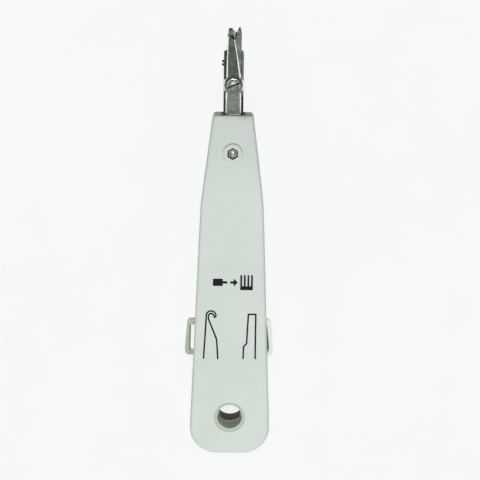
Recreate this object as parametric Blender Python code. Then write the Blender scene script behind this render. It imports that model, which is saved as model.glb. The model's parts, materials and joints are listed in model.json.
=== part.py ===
"""Punch down tool for insulation-displacement terminal strips, lying on its back.

A spring-loaded steel head with a pair of wire scissors slides in a two-shell plastic handle. A wire hook and
a release blade fold out of slots in the handle's sides.

Frame: +Y points along the tool to its working end, +X to the right of the face that carries the nut, +Z up
out of that face. The origin is on the flat back face, on the tool's centre line, halfway along its length.
All sizes below are in millimetres, and MM turns them into Blender's metres.
"""

import math

import bmesh
import bpy
from mathutils import Matrix, Vector

MM = 0.001

# ---------------------------------------------------------------- driving dimensions
LENGTH = 175.0
TAIL_Y = -LENGTH / 2
MID_Z = 10.0                # parting plane, and the middle of the head
GRIP_HALF_THICK = 10.0
NECK_HALF_THICK = 7.5       # half thickness at the handle's working end
NECK_Y = 52.9               # working end of the handle
NECK_HALF_WIDTH = 8.13
NECK_TAPER = 0.129          # half width gained per mm towards the tail, near the head
GRIP_REF_Y = 10.4
GRIP_REF_HALF_WIDTH = 13.0
GRIP_TAPER = 0.0394         # the same, along the grip
WAIST_BLEND = 0.26          # softness of the bend between the two tapers
TAIL_CORNER_R = 11.0
NECK_CORNER_R = 1.5
EDGE_R = 1.4                # rounding between the faces and the side walls
WALL = 1.8
SLOPE_START_Y = 8.0         # the faces are flat up to here and slope to the neck beyond
SLOPE_BLEND = 12.0
SEAM_GAP = 0.3
FIT_GAP = 0.3
SLIM_GAP = 0.15

STROKE = 6.0                # how far the head is pushed into the handle
PIVOT = (0.0, 64.4)
BOSS_R = 4.3
FOLLOWER = (0.0, 49.0)      # pin on the scissor arm's tail
FOLLOWER_R = 1.2
FOLLOWER_PIN_R = 0.7
STOP_BUSH_R = 1.5           # runs in the channel's slot and stops the head at both ends
CAM_Z = (14.6, 15.35)       # the slotted plate that the pin runs in
SCISSOR_ANGLE = math.radians(5.0)
CLAMP = (0.0, 37.4)         # the clamp screw's axis
PAD_R = 3.95                # flat pad round the nut, square to the screw
PAD_Z = 18.8
NUT_WIDTH = 3.6             # across flats
NUT_POCKET_WIDTH = 4.25
EYE = (0.0, -72.0)          # hanging hole
EYE_R = 5.15                # in the front shell
EYE_BACK_R = 4.6            # in the back shell
EYE_MOUTH_R = 6.25          # at the front face
EYE_CHAMFER = 1.5
EYE_BACK_CHAMFER = 0.3
EYE_BOSS_R = 6.65
REAR_SCREW = (0.0, -49.0)
FOLD_PIVOT_X = 11.0
FOLD_PIVOT_Y = -59.0
SLOT_Z = (8.2, 11.8)        # height of the side slots
SLOT_Y = (-68.5, -8.0)
SLOT_FLOOR_X = 11.5         # how far the side slots reach in
GUIDE_X = (4.3, 5.7)        # the walls that the head slides between
SEAT_Y = (-30.3, -27.3)     # the cross rib that the main spring pushes on
NECK_OPENING_HALF = 4.6
NECK_OPENING_Z = (5.5, 15.1)

CLAMP_HOLE_R = 1.12         # in the pieces that the clamp screw passes through
PIVOT_HOLE_R = 1.65
CROSS_PIN = (9.6, 9.6)      # Y and Z of the pin across the channel's lower end
CROSS_PIN_R = 0.8
ROD_Z = 9.7                 # the guide rod's and the main spring's axis
ROD_R = 1.5
FORK_RIVET = (0.0, 69.1)

CIRCLE = 24                 # facets of a round part
LARGE_CIRCLE = 32
SMALL_CIRCLE = 16
TINY_CIRCLE = 12
ARC_STEP = 15.0             # degrees for each facet of an arc


# ---------------------------------------------------------------- handle shape
def half_width(y):
    """Half the handle's width: two straight tapers with a soft bend between them."""
    grip = GRIP_REF_HALF_WIDTH + GRIP_TAPER * (GRIP_REF_Y - y)
    neck = NECK_HALF_WIDTH + NECK_TAPER * (NECK_Y - y)
    return 0.5 * (grip + neck - math.hypot(grip - neck, WAIST_BLEND))


def half_thick(y):
    """Half the handle's thickness: flat grip, a short curve, then a straight slope to the neck."""
    blend_end = SLOPE_START_Y + SLOPE_BLEND
    slope = (GRIP_HALF_THICK - NECK_HALF_THICK) / (NECK_Y - SLOPE_START_Y - SLOPE_BLEND / 2)
    if y <= SLOPE_START_Y:
        return GRIP_HALF_THICK
    if y < blend_end:
        return GRIP_HALF_THICK - slope * (y - SLOPE_START_Y) ** 2 / (2 * SLOPE_BLEND)
    return GRIP_HALF_THICK - slope * (y - SLOPE_START_Y - SLOPE_BLEND / 2)


def arc(cx, cy, r, start, end, step=ARC_STEP):
    """Points on a circle from start to end, in degrees, both ends included."""
    count = max(1, round(abs(end - start) / step))
    angles = [math.radians(start + (end - start) * i / count) for i in range(count + 1)]
    return [(cx + r * math.cos(a), cy + r * math.sin(a)) for a in angles]


def handle_side(inset=0.0):
    """The right half of the handle's outline, moved inwards, from the tail's middle to the neck's middle."""
    tail_r = TAIL_CORNER_R - inset
    neck_r = max(NECK_CORNER_R - inset, 0.1)
    tail_y = TAIL_Y + TAIL_CORNER_R
    neck_y = NECK_Y - max(inset, NECK_CORNER_R)
    tail = arc(half_width(tail_y) - TAIL_CORNER_R, tail_y, tail_r, -90, 0, 11.25)
    ys = (-62, -47, -32, -17, -2, 8, 11, 13, 15, 17, 20, 24, 32, 42)
    side = [(half_width(y) - inset, y) for y in ys]
    neck = arc(half_width(neck_y) - inset - neck_r, neck_y, neck_r, 0, 90, 22.5)
    return tail + side + neck


# ---------------------------------------------------------------- mesh helpers
def stitch(rings, capped=True):
    """A closed mesh through rings of equally many points, in mm, seen anticlockwise from the last one."""
    bm = bmesh.new()
    loops = [[bm.verts.new(p) for p in ring] for ring in rings]
    count = len(rings[0])
    for low, high in zip(loops, loops[1:]):
        for i in range(count):
            j = (i + 1) % count
            bm.faces.new((low[i], low[j], high[j], high[i]))
    if capped:
        bm.faces.new(list(reversed(loops[0])))
        bm.faces.new(loops[-1])
    return bm


def prism(outline, z0, z1):
    """An anticlockwise outline extruded from z0 to z1."""
    return stitch([[(x, y, z0) for x, y in outline], [(x, y, z1) for x, y in outline]])


def block(x0, x1, y0, y1, z0, z1):
    return prism([(x0, y0), (x1, y0), (x1, y1), (x0, y1)], z0, z1)


def turned(profile, sides=CIRCLE):
    """A solid of revolution about Z through the profile's (radius, height) points, from the bottom up."""
    bm = bmesh.new()
    rings = []
    for r, z in profile:
        angles = [2 * math.pi * i / sides for i in range(sides)]
        rings.append([bm.verts.new((r * math.cos(a), r * math.sin(a), z)) for a in angles])
    for low, high in zip(rings, rings[1:]):
        for i in range(sides):
            j = (i + 1) % sides
            bm.faces.new((low[i], low[j], high[j], high[i]))
    bm.faces.new(list(reversed(rings[0])))
    bm.faces.new(rings[-1])
    return bm


def tube(inner, outer, z0, z1, sides=CIRCLE):
    """A plain tube about Z."""
    bm = bmesh.new()
    corners = [(inner, z0), (outer, z0), (outer, z1), (inner, z1)]
    rings = []
    for i in range(sides):
        a = 2 * math.pi * i / sides
        rings.append([bm.verts.new((r * math.cos(a), r * math.sin(a), z)) for r, z in corners])
    for i in range(sides):
        here, there = rings[i], rings[(i + 1) % sides]
        for k in range(4):
            m = (k + 1) % 4
            bm.faces.new((here[k], there[k], there[m], here[m]))
    bmesh.ops.recalc_face_normals(bm, faces=bm.faces)
    return bm


def coil(radius, wire_r, y0, y1, turns, end_turns, steps, sides):
    """A compression spring along Y with closed end turns, its wire's centre between y0 and y1."""
    pitch_turns = turns - 2 * end_turns
    end_rise = end_turns * 2.1 * wire_r
    bm = bmesh.new()
    rings = []
    total = round(turns * steps)
    for i in range(total + 1):
        t = i / steps
        if t < end_turns:
            y = y0 + end_rise * t / end_turns
        elif t > turns - end_turns:
            y = y1 - end_rise * (turns - t) / end_turns
        else:
            y = y0 + end_rise + (y1 - y0 - 2 * end_rise) * (t - end_turns) / pitch_turns
        a = 2 * math.pi * t
        centre = Vector((radius * math.cos(a), y, radius * math.sin(a)))
        out = Vector((math.cos(a), 0, math.sin(a)))
        ring = []
        for k in range(sides):
            b = 2 * math.pi * k / sides
            ring.append(bm.verts.new(centre + wire_r * (out * math.cos(b) + Vector((0, math.sin(b), 0)))))
        rings.append(ring)
    for low, high in zip(rings, rings[1:]):
        for k in range(sides):
            m = (k + 1) % sides
            bm.faces.new((low[k], low[m], high[m], high[k]))
    bm.faces.new(list(reversed(rings[0])))
    bm.faces.new(rings[-1])
    bmesh.ops.recalc_face_normals(bm, faces=bm.faces)
    return bm


def moved(bm, x=0.0, y=0.0, z=0.0):
    bmesh.ops.translate(bm, verts=bm.verts, vec=(x, y, z))
    return bm


def turned_to(bm, axis, degrees):
    """The mesh turned about the origin."""
    turn = Matrix.Rotation(math.radians(degrees), 3, axis)
    bmesh.ops.rotate(bm, verts=bm.verts, cent=(0, 0, 0), matrix=turn)
    return bm


def hole(r, z0, z1, x, y, sides=CIRCLE):
    """A round cutter or post parallel to Z."""
    return moved(turned([(r, z0), (r, z1)], sides), x, y)


def lengthwise(r, start, length, sides=SMALL_CIRCLE):
    """A round bar parallel to Y and centred on the guide rod's axis, running towards the tail from start."""
    return moved(turned_to(turned([(r, 0.0), (r, length)], sides), "X", 90), 0, start, ROD_Z)


def crosswise(r, half_length):
    """A round bar along X at the lower cross pin."""
    bar = turned_to(turned([(r, -half_length), (r, half_length)], SMALL_CIRCLE), "Y", 90)
    return moved(bar, 0, *CROSS_PIN)


def mirrored(outline):
    """An outline mirrored in the tool's centre plane, still anticlockwise."""
    return [(-x, y) for x, y in reversed(outline)]


def filleted(corners, step=ARC_STEP):
    """An outline from (x, y, radius) corners, each rounded by an arc of its radius."""
    points = []
    count = len(corners)
    for i, (x, y, r) in enumerate(corners):
        here = Vector((x, y))
        if not r:
            points.append((x, y))
            continue
        back = (Vector(corners[i - 1][:2]) - here).normalized()
        ahead = (Vector(corners[(i + 1) % count][:2]) - here).normalized()
        half = back.angle(ahead) / 2
        centre = here + (back + ahead).normalized() * (r / math.sin(half))
        first = here + back * (r / math.tan(half)) - centre
        last = here + ahead * (r / math.tan(half)) - centre
        start = math.degrees(math.atan2(first.y, first.x))
        sweep = (math.degrees(math.atan2(last.y, last.x)) - start + 180) % 360 - 180
        points += arc(centre.x, centre.y, r, start, start + sweep, step)
    return points


# ---------------------------------------------------------------- scene helpers
BODIES = {}
MATERIALS = {}


def material(name, colour, roughness, metallic=0.0):
    """A Principled material, made once for each name."""
    if name not in MATERIALS:
        made = bpy.data.materials.new(name)
        made.use_nodes = True
        shader = made.node_tree.nodes["Principled BSDF"]
        shader.inputs["Base Color"].default_value = (*colour, 1.0)
        shader.inputs["Roughness"].default_value = roughness
        shader.inputs["Metallic"].default_value = metallic
        MATERIALS[name] = made
    return MATERIALS[name]


def shell_plastic():
    return material("shell_plastic", (0.66, 0.72, 0.67), 0.45)


def tab_plastic(shade):
    tones = {"cream": (0.80, 0.81, 0.74), "khaki": (0.46, 0.48, 0.39)}
    return material("tab_plastic_" + shade, tones[shade], 0.4)


def nickel():
    return material("nickel_plate", (0.52, 0.55, 0.52), 0.3, 1.0)


def dark_steel():
    return material("dark_steel", (0.20, 0.20, 0.18), 0.35, 1.0)


def spring_steel():
    return material("spring_steel", (0.45, 0.45, 0.44), 0.3, 1.0)


def body(name, x=0.0, y=0.0, z=0.0):
    """An empty on a body's joint axis, which the body's pieces are parented to."""
    empty = bpy.data.objects.new(name, None)
    empty.location = Vector((x, y, z)) * MM
    bpy.context.scene.collection.objects.link(empty)
    BODIES[name] = empty
    return empty


def raw_object(name, bm, origin=(0, 0, 0)):
    """An object from a mesh in mm, with its origin at a point in mm."""
    bmesh.ops.translate(bm, verts=bm.verts, vec=-Vector(origin))
    bmesh.ops.scale(bm, verts=bm.verts, vec=(MM, MM, MM))
    mesh = bpy.data.meshes.new(name)
    bm.to_mesh(mesh)
    bm.free()
    made = bpy.data.objects.new(name, mesh)
    made.location = Vector(origin) * MM
    bpy.context.scene.collection.objects.link(made)
    return made


def piece(name, bm, owner, finish):
    """A sub-part, riding on its body's empty, shaded smooth on its round faces."""
    empty = BODIES[owner]
    origin = empty.location / MM
    made = raw_object(name, bm, origin)
    made.data.materials.append(finish)
    made.data.shade_smooth()
    made.data.set_sharp_from_angle(angle=math.radians(30))
    made.parent = empty
    made.location = (0, 0, 0)
    return made


def tool_collection(name, meshes):
    """A hidden collection of cutters or of shapes to join."""
    group = bpy.data.collections.new(name)
    bpy.context.scene.collection.children.link(group)
    for i, bm in enumerate(meshes):
        shape = raw_object(f"{name}_{i}", bm)
        bpy.context.scene.collection.objects.unlink(shape)
        group.objects.link(shape)
        shape.hide_render = True
        shape.display_type = "WIRE"
    return group


def boolean(target, operation, meshes):
    """One Boolean modifier with every given mesh."""
    modifier = target.modifiers.new(operation.lower(), "BOOLEAN")
    modifier.operation = operation
    modifier.solver = "EXACT"
    modifier.operand_type = "COLLECTION"
    name = f"{target.name}_{operation.lower()}_{len(target.modifiers)}"
    modifier.collection = tool_collection(name, meshes)


def cut(target, *meshes):
    boolean(target, "DIFFERENCE", meshes)


def join(target, *meshes):
    boolean(target, "UNION", meshes)


# ---------------------------------------------------------------- handle
def shell_level(points, height_of, side):
    """A ring of the handle at one height above the parting plane, on one side of it."""
    right = [(x, y, MID_Z + side * height_of(y)) for x, y in points]
    left = [(-x, y, z) for x, y, z in reversed(right)]
    return right + left


def shell_body(inset, thin, edge_r, foot, side, edge_steps):
    """Half of the handle: its outline moved in by inset and its face lowered by thin, with a rounded edge."""
    rings = [shell_level(handle_side(inset), lambda y: foot, side)]
    for k in range(edge_steps + 1):
        phi = math.pi / 2 * k / edge_steps
        level = handle_side(inset + edge_r * (1 - math.cos(phi)))
        drop = thin + edge_r * (1 - math.sin(phi))
        rings.append(shell_level(level, lambda y, d=drop: half_thick(y) - d, side))
    bm = stitch(rings, capped=False)
    bm.verts.ensure_lookup_table()
    count = len(rings[0])
    half = count // 2
    for start, up in ((0, False), (len(rings) - 1, True)):
        ring = [bm.verts[start * count + i] for i in range(count)]
        for i in range(half - 1):
            quad = (ring[i], ring[i + 1], ring[count - 2 - i], ring[count - 1 - i])
            bm.faces.new(quad if up else tuple(reversed(quad)))
    if side < 0:
        bmesh.ops.reverse_faces(bm, faces=bm.faces)
    return bm


def upright(xs, ys, z_near, side):
    """A box inside a shell, from a height near the parting plane into the face wall, which may slope."""
    (x0, x1), (y0, y1) = xs, ys
    outline = [(x0, y0), (x1, y0), (x1, y1), (x0, y1)]
    top = [(x, y, MID_Z + side * (half_thick(y) - WALL / 2)) for x, y in outline]
    bm = stitch([[(x, y, z_near) for x, y in outline], top])
    if side < 0:
        bmesh.ops.reverse_faces(bm, faces=bm.faces)
    return bm


def boss(x, y, r, near, side):
    """A round post from near the parting plane into the face wall."""
    far = MID_Z + side * (half_thick(y) - WALL / 2)
    return hole(r, min(near, far), max(near, far), x, y)


def head_guides(side):
    """The walls and rails that the head slides between, in lengths that follow the sloping face."""
    near = MID_Z + side * SEAM_GAP / 2
    rail_z, rail_x, rail_end = (12.6, (3.35, 4.9), 33.0) if side > 0 else (5.7, (2.2, 4.9), 51.0)
    guides = []
    for sx in (-1, 1):
        wall, rail = sorted(sx * x for x in GUIDE_X), sorted(sx * x for x in rail_x)
        guides += [upright(wall, ys, near, side) for ys in ((SEAT_Y[0], 8.0), (7.9, 20.0), (19.9, 51.0))]
        guides += [upright(rail, ys, rail_z, side) for ys in ((4.0, 8.1), (8.0, 20.1), (20.0, rail_end))]
    return guides


def shell_ribs(side):
    """Everything that stands inside one shell, from its face wall to near the parting plane."""
    near = MID_Z + side * SEAM_GAP / 2
    ribs = head_guides(side)
    ribs += [boss(sx * FOLD_PIVOT_X, FOLD_PIVOT_Y, 3.0, MID_Z + side * 1.8, side) for sx in (-1, 1)]
    ribs += [boss(*EYE, EYE_BOSS_R, near, side), upright((-5.0, 5.0), SEAT_Y, MID_Z + side * 2.3, side)]
    if side > 0:
        cam_stop = CAM_Z[1] + 0.25
        ribs += [boss(*CLAMP, 2.4, cam_stop, side), boss(*REAR_SCREW, 2.6, near, side)]
        ribs.append(upright((-NECK_OPENING_HALF, NECK_OPENING_HALF), (40.9, 50.8), cam_stop, side))
    else:
        ribs += [boss(*CLAMP, 3.4, 5.3, side), boss(*REAR_SCREW, 3.2, near, side)]
    return ribs


def eye_cutter(side):
    """The hanging hole, deeply chamfered at the front face and a shade narrower in the back shell."""
    top = 2 * GRIP_HALF_THICK
    over = 1.0
    if side > 0:
        flare = (EYE_MOUTH_R - EYE_R) / EYE_CHAMFER
        mouth = EYE_MOUTH_R + flare * over
        profile = [(EYE_R, MID_Z - over), (EYE_R, top - EYE_CHAMFER), (mouth, top + over)]
    else:
        mouth = EYE_BACK_R + EYE_BACK_CHAMFER + over
        profile = [(mouth, -over), (EYE_BACK_R, EYE_BACK_CHAMFER), (EYE_BACK_R, MID_Z + over)]
    return moved(turned(profile, LARGE_CIRCLE), *EYE)


def shell_openings(side):
    """What is cut in both shells: the hanging hole, the neck opening, the side slots and the pin sockets."""
    neck = block(-NECK_OPENING_HALF, NECK_OPENING_HALF, 50.0, 60.0, *NECK_OPENING_Z)
    socket = (2.9, 9.0) if side < 0 else (11.0, 17.1)
    cuts = [eye_cutter(side), neck]
    for sx in (-1, 1):
        cuts.append(block(*sorted((sx * SLOT_FLOOR_X, sx * 20.0)), *SLOT_Y, *SLOT_Z))
        cuts.append(hole(1.35, *socket, sx * FOLD_PIVOT_X, FOLD_PIVOT_Y, SMALL_CIRCLE))
    return cuts


def hexagon(across_flats, x, y):
    r = across_flats / math.sqrt(3)
    corners = [math.radians(30 + 60 * i) for i in range(6)]
    return [(x + r * math.cos(a), y + r * math.sin(a)) for a in corners]


def front_shell():
    """The shell that carries the nut, in a hexagonal pocket in a round pad on the sloping face."""
    made = piece("front_shell", shell_body(0, 0, EDGE_R, SEAM_GAP / 2, 1, 3), "handle", shell_plastic())
    cut(made, shell_body(WALL, WALL, 0.6, -1.0, 1, 1))
    pad = moved(turned([(PAD_R, 17.4), (PAD_R, PAD_Z - 0.2), (PAD_R - 0.2, PAD_Z)], LARGE_CIRCLE), *CLAMP)
    join(made, pad, *shell_ribs(1))
    pocket = prism(hexagon(NUT_POCKET_WIDTH, *CLAMP), 16.2, PAD_Z + 1)
    shank = hole(1.2, 12.0, 17.0, *CLAMP, SMALL_CIRCLE)
    rear = hole(1.3, 8.0, 16.8, *REAR_SCREW, SMALL_CIRCLE)
    cut(made, pocket, shank, rear, *shell_openings(1))


def back_shell():
    """The shell that the tool lies on, with the counterbores of both screws."""
    made = piece("back_shell", shell_body(0, 0, EDGE_R, SEAM_GAP / 2, -1, 3), "handle", shell_plastic())
    cut(made, shell_body(WALL, WALL, 0.6, -1.0, -1, 1))
    join(made, *shell_ribs(-1))
    heads = [hole(2.2, -1.0, 3.6, *CLAMP), hole(2.6, -1.0, 2.6, *REAR_SCREW)]
    shanks = [hole(1.2, 2.0, 8.0, *CLAMP, SMALL_CIRCLE), hole(1.35, 1.0, 12.0, *REAR_SCREW, SMALL_CIRCLE)]
    cut(made, *heads, *shanks, *shell_openings(-1))


def cross_recess(size, depth, x, y, z):
    """A crosshead driver's recess, cut upwards from the underside of a screw head."""
    arm = size * 0.22
    return [
        block(x - size, x + size, y - arm, y + arm, z - 1, z + depth),
        block(x - arm, x + arm, y - size, y + size, z - 1, z + depth),
    ]


def handle_fasteners():
    """The clamp screw with its nut and stop bush, and the self-tapping screw at the grip."""
    screw = [(1.4, 1.75), (1.9, 2.15), (1.9, 3.4), (0.95, 3.4), (0.95, 18.1), (0.75, 18.3)]
    made = piece("clamp_screw", moved(turned(screw), *CLAMP), "handle", nickel())
    cut(made, *cross_recess(1.0, 0.7, *CLAMP, 1.75))
    nut = piece("clamp_nut", prism(hexagon(NUT_WIDTH, *CLAMP), 16.4, 18.2), "handle", nickel())
    cut(nut, hole(CLAMP_HOLE_R, 15.0, 19.0, *CLAMP, SMALL_CIRCLE))
    piece("stop_bush", moved(tube(CLAMP_HOLE_R, STOP_BUSH_R, 5.6, 14.3), *CLAMP), "handle", dark_steel())
    tapping = [(1.9, 0.5), (2.35, 0.95), (2.35, 2.3), (1.15, 2.3), (1.15, 14.8), (0.35, 16.4)]
    rear = piece("rear_screw", moved(turned(tapping), *REAR_SCREW), "handle", nickel())
    cut(rear, *cross_recess(1.3, 0.9, *REAR_SCREW, 0.5))


def main_spring():
    """The spring that holds the head out, and the plate it stands on in the handle's ribs."""
    seat = piece("spring_seat", block(-3.9, 3.9, -27.0, -25.6, 6.1, 13.9), "handle", dark_steel())
    cut(seat, lengthwise(ROD_R + FIT_GAP, -23.0, 6.0, CIRCLE))
    spring = coil(radius=2.9, wire_r=0.4, y0=-24.9, y1=5.1, turns=10, end_turns=1, steps=20, sides=6)
    piece("main_spring", moved(spring, 0, 0, ROD_Z), "handle", spring_steel())


def scissor_cam():
    """The plate whose slanting slot swings the scissor arm as the head goes in, held by the clamp screw."""
    outline = filleted([(-3.9, 34.6, 0.8), (3.9, 34.6, 0.8), (3.9, 50.2, 0.4), (-3.9, 50.2, 0.4)], 45)
    made = piece("scissor_cam", prism(outline, *CAM_Z), "handle", dark_steel())
    reach = PIVOT[1] - FOLLOWER[1]
    end = (-reach * math.sin(SCISSOR_ANGLE), PIVOT[1] - STROKE - reach * math.cos(SCISSOR_ANGLE))
    lean = math.degrees(math.atan2(end[0] - FOLLOWER[0], FOLLOWER[1] - end[1]))
    slot_r = FOLLOWER_R + 0.2
    slot = arc(*FOLLOWER, slot_r, lean, lean + 180, 30) + arc(*end, slot_r, lean + 180, lean + 360, 30)
    cut(made, prism(slot, 13.0, 17.0), hole(CLAMP_HOLE_R, 13.0, 17.0, *CLAMP, SMALL_CIRCLE))


# ---------------------------------------------------------------- head
CHANNEL_HALF = 4.0
SHEET = 0.8
CHANNEL_Z = (6.0, 12.3)
CHANNEL_Y = (6.0, 84.5)
JAW_Z = (11.1, 12.5)
ARM_Z = (12.7, 14.2)
TIP_Z = 13.3                # front of the scissor arm where it is ground thin
STUFFER_Z = (8.8, 10.85)
SENSOR_X = 0.9
SENSOR_Z = 7.8


def head_channel():
    """The folded steel channel that carries the head's parts and slides in the handle."""
    inner = CHANNEL_HALF - SHEET
    section = [(-CHANNEL_HALF, CHANNEL_Z[0]), (CHANNEL_HALF, CHANNEL_Z[0]), (CHANNEL_HALF, CHANNEL_Z[1]),
               (inner, CHANNEL_Z[1]), (inner, CHANNEL_Z[0] + SHEET), (-inner, CHANNEL_Z[0] + SHEET),
               (-inner, CHANNEL_Z[1]), (-CHANNEL_HALF, CHANNEL_Z[1])]
    folded = stitch([[(x, y, z) for x, z in reversed(section)] for y in CHANNEL_Y])
    made = piece("head_channel", folded, "head", nickel())
    cuts = [crosswise(CROSS_PIN_R + SLIM_GAP, 6.0)]
    for sx in (-1, 1):
        corner = [(sx * 2.65, 78.3), (sx * 5.0, 77.3), (sx * 5.0, 90.0), (sx * 2.65, 90.0)]
        cuts.append(prism(corner if sx > 0 else list(reversed(corner)), 5.0, 14.0))
    slot_r = STOP_BUSH_R + FIT_GAP
    slot = arc(CLAMP[0], CLAMP[1], slot_r, 180, 360) + arc(CLAMP[0], CLAMP[1] + STROKE, slot_r, 0, 180)
    cuts += [prism(slot, 5.0, 8.0), hole(1.7, 5.0, 8.0, *PIVOT)]
    cuts += [hole(0.85, 5.0, 8.0, *FORK_RIVET, TINY_CIRCLE), block(-5.0, -3.0, 71.2, 76.5, 8.1, 10.3)]
    cut(made, *cuts)


def fixed_jaw():
    """The fixed scissor blade, behind the moving arm."""
    outline = filleted([
        (-3.05, 58.8, 0), (3.05, 58.8, 0), (3.05, 85.4, 0.8), (2.35, 87.9, 0.25), (1.75, 86.8, 0),
        (1.35, 86.0, 0.3), (1.1, 84.3, 0.6), (0.3, 82.3, 0), (-0.9, 79.0, 0), (-2.45, 76.8, 0.6),
        (-2.45, 62.0, 0), (-3.05, 61.0, 0)])
    made = piece("fixed_jaw", prism(outline, *JAW_Z), "head", nickel())
    cut(made, hole(1.7, 10.0, 14.0, *PIVOT))


def wire_stuffer():
    """The fork that presses the wire into its contact, with a foot riveted to the channel."""
    outline = filleted([
        (-2.15, 67.3, 0), (2.75, 67.3, 0), (2.75, 86.6, 0.4), (1.75, 86.6, 0.2), (1.7, 86.0, 0),
        (1.35, 86.0, 0), (1.35, 79.2, 0), (0.45, 79.2, 0), (0.45, 86.0, 0), (-0.4, 86.0, 0),
        (-0.6, 86.9, 0.25), (-2.15, 86.9, 0.35)])
    made = piece("wire_stuffer", prism(outline, *STUFFER_Z), "head", dark_steel())
    join(made, block(-2.15, 2.75, 67.3, 70.9, 6.95, STUFFER_Z[1] - 0.5))
    cut(made, hole(0.85, 5.0, 12.0, *FORK_RIVET, TINY_CIRCLE))


def sensor():
    """The small slide in the fork's slot that feels the terminal, and its spring."""
    x = SENSOR_X
    foot = [(x - 1.6, 76.0), (x + 1.6, 76.0), (x + 1.6, 80.9), (x - 1.6, 80.9)]
    nose = [(x - 0.3, 80.0), (x + 0.3, 80.0), (x + 0.3, 85.2), (x + 0.15, 85.4), (x - 0.15, 85.4),
            (x - 0.3, 85.2)]
    raised = [(px, max(py, 82.0)) for px, py in nose]
    spigot = moved(turned_to(turned([(0.4, 0.0), (0.4, 1.9)], TINY_CIRCLE), "X", 90), x, 76.3, SENSOR_Z)
    made = piece("sensor_slide", prism(foot, 7.1, 8.5), "sensor", dark_steel())
    join(made, prism(nose, 7.3, 8.3), prism(raised, 8.0, 9.9), spigot)
    spring = coil(radius=0.6, wire_r=0.14, y0=71.2, y1=75.7, turns=7, end_turns=1, steps=12, sides=6)
    piece("sensor_spring", moved(spring, x, 0, SENSOR_Z), "head", spring_steel())


def lock_slide():
    """The thumb slide in the channel's left wall that locks the scissors open."""
    made = piece("lock_slide", block(-3.05, -2.4, 69.9, 75.6, 7.5, 10.6), "lock", dark_steel())
    pad = block(-4.05, -2.8, 71.5, 74.7, 8.4, 10.0)
    ridges = [hole(0.42, 8.5, 9.9, -4.15, y, TINY_CIRCLE) for y in (72.45, 73.7)]
    join(made, pad, *ridges)


def head_pivot():
    """The slotted pivot screw with its washer, spacer and rear nut."""
    screw = [(1.3, 3.9), (1.5, 4.1), (1.5, 14.75), (2.75, 14.75), (2.95, 14.95), (2.95, 15.35), (2.6, 15.65),
             (1.6, 15.85)]
    made = piece("pivot_screw", moved(turned(screw), *PIVOT), "head", nickel())
    slot = turned_to(block(-4, 4, -0.3, 0.3, 15.25, 17.0), "Z", 24)
    cut(made, moved(slot, *PIVOT))
    piece("pivot_washer", moved(tube(PIVOT_HOLE_R, 3.4, 14.35, 14.62), *PIVOT), "head", dark_steel())
    piece("pivot_spacer", moved(tube(PIVOT_HOLE_R, 2.4, 6.95, 10.95), *PIVOT), "head", dark_steel())
    nut = piece("pivot_nut", prism(hexagon(5.0, *PIVOT), 4.2, 5.8), "head", nickel())
    cut(nut, hole(PIVOT_HOLE_R, 3.0, 7.0, *PIVOT))


def head_tail():
    """The plug, cross pin and guide rod at the channel's lower end, and the rivet of the fork's foot."""
    plug = piece("tail_plug", block(-3.0, 3.0, 6.0, 13.5, 7.0, 12.2), "head", dark_steel())
    cut(plug, crosswise(CROSS_PIN_R + SLIM_GAP, 6.0), lengthwise(ROD_R + SLIM_GAP, 7.8, 2.3))
    piece("tail_pin", crosswise(CROSS_PIN_R, 3.9), "head", spring_steel())
    rod = turned_to(turned([(ROD_R, 0.0), (ROD_R, 36.0), (ROD_R - 0.4, 36.5)], SMALL_CIRCLE), "X", 90)
    piece("guide_rod", moved(rod, 0, 7.5, ROD_Z), "head", spring_steel())
    rivet = [(1.3, 5.35), (1.45, 5.55), (1.45, 5.8), (0.7, 5.8), (0.7, 10.7)]
    piece("fork_rivet", moved(turned(rivet, SMALL_CIRCLE), *FORK_RIVET), "head", spring_steel())


def arm_outline():
    """The moving blade from above: tail, round boss, and blade up to the diagonal step."""
    tail_half, blade_half = 3.1, 2.95
    low_end = math.degrees(math.atan2(-math.sqrt(BOSS_R ** 2 - tail_half ** 2), tail_half))
    high_end = math.degrees(math.atan2(math.sqrt(BOSS_R ** 2 - blade_half ** 2), blade_half))
    tail = [(-tail_half, 53.0), (-2.1, 50.5), (-2.1, 47.3), (-1.6, 46.8), (1.6, 46.8), (2.1, 47.3),
            (2.1, 50.5), (tail_half, 53.0)]
    blade = [(1.56, 76.0), (0.9, 80.3), (0.55, 82.3), (0.1, 82.9), (-0.75, 83.8), (-2.5, 84.0), (-2.6, 80.3),
             (-2.75, 76.0)]
    right = arc(*PIVOT, BOSS_R, low_end, high_end)
    left = arc(*PIVOT, BOSS_R, 180 - high_end, 180 - low_end)
    return tail + right + blade + left


def scissor_arm():
    """The moving scissor blade in front, ground thin at its tip, with the cam follower in its tail."""
    made = piece("scissor_arm", prism(arm_outline(), *ARM_Z), "scissor", nickel())
    tip = filleted([(-2.4, 82.5, 0), (0.3, 82.5, 0), (-0.35, 84.6, 0.5), (-0.45, 86.2, 0.5),
                    (-0.95, 86.9, 0.3), (-2.2, 86.9, 0.4)])
    join(made, prism(tip, ARM_Z[0], TIP_Z))
    pin_hole = hole(FOLLOWER_PIN_R + SLIM_GAP, 12.0, 15.0, *FOLLOWER, SMALL_CIRCLE)
    cut(made, hole(PIVOT_HOLE_R, 12.0, 15.0, *PIVOT), pin_hole)
    head_z = ARM_Z[1] + 0.1
    follower = [(FOLLOWER_PIN_R, 12.75), (FOLLOWER_PIN_R, head_z), (FOLLOWER_R, head_z), (FOLLOWER_R, 15.15),
                (1.05, 15.3)]
    piece("cam_follower", moved(turned(follower, SMALL_CIRCLE), *FOLLOWER), "scissor", spring_steel())


# ---------------------------------------------------------------- fold-out tools
TAB_Z = (8.5, 11.5)
STEEL_Z = (9.5, 10.5)
RIVET_X = 11.1
RIVET_Y = -46.5
FOLD_RIVET_R = 0.8


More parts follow.
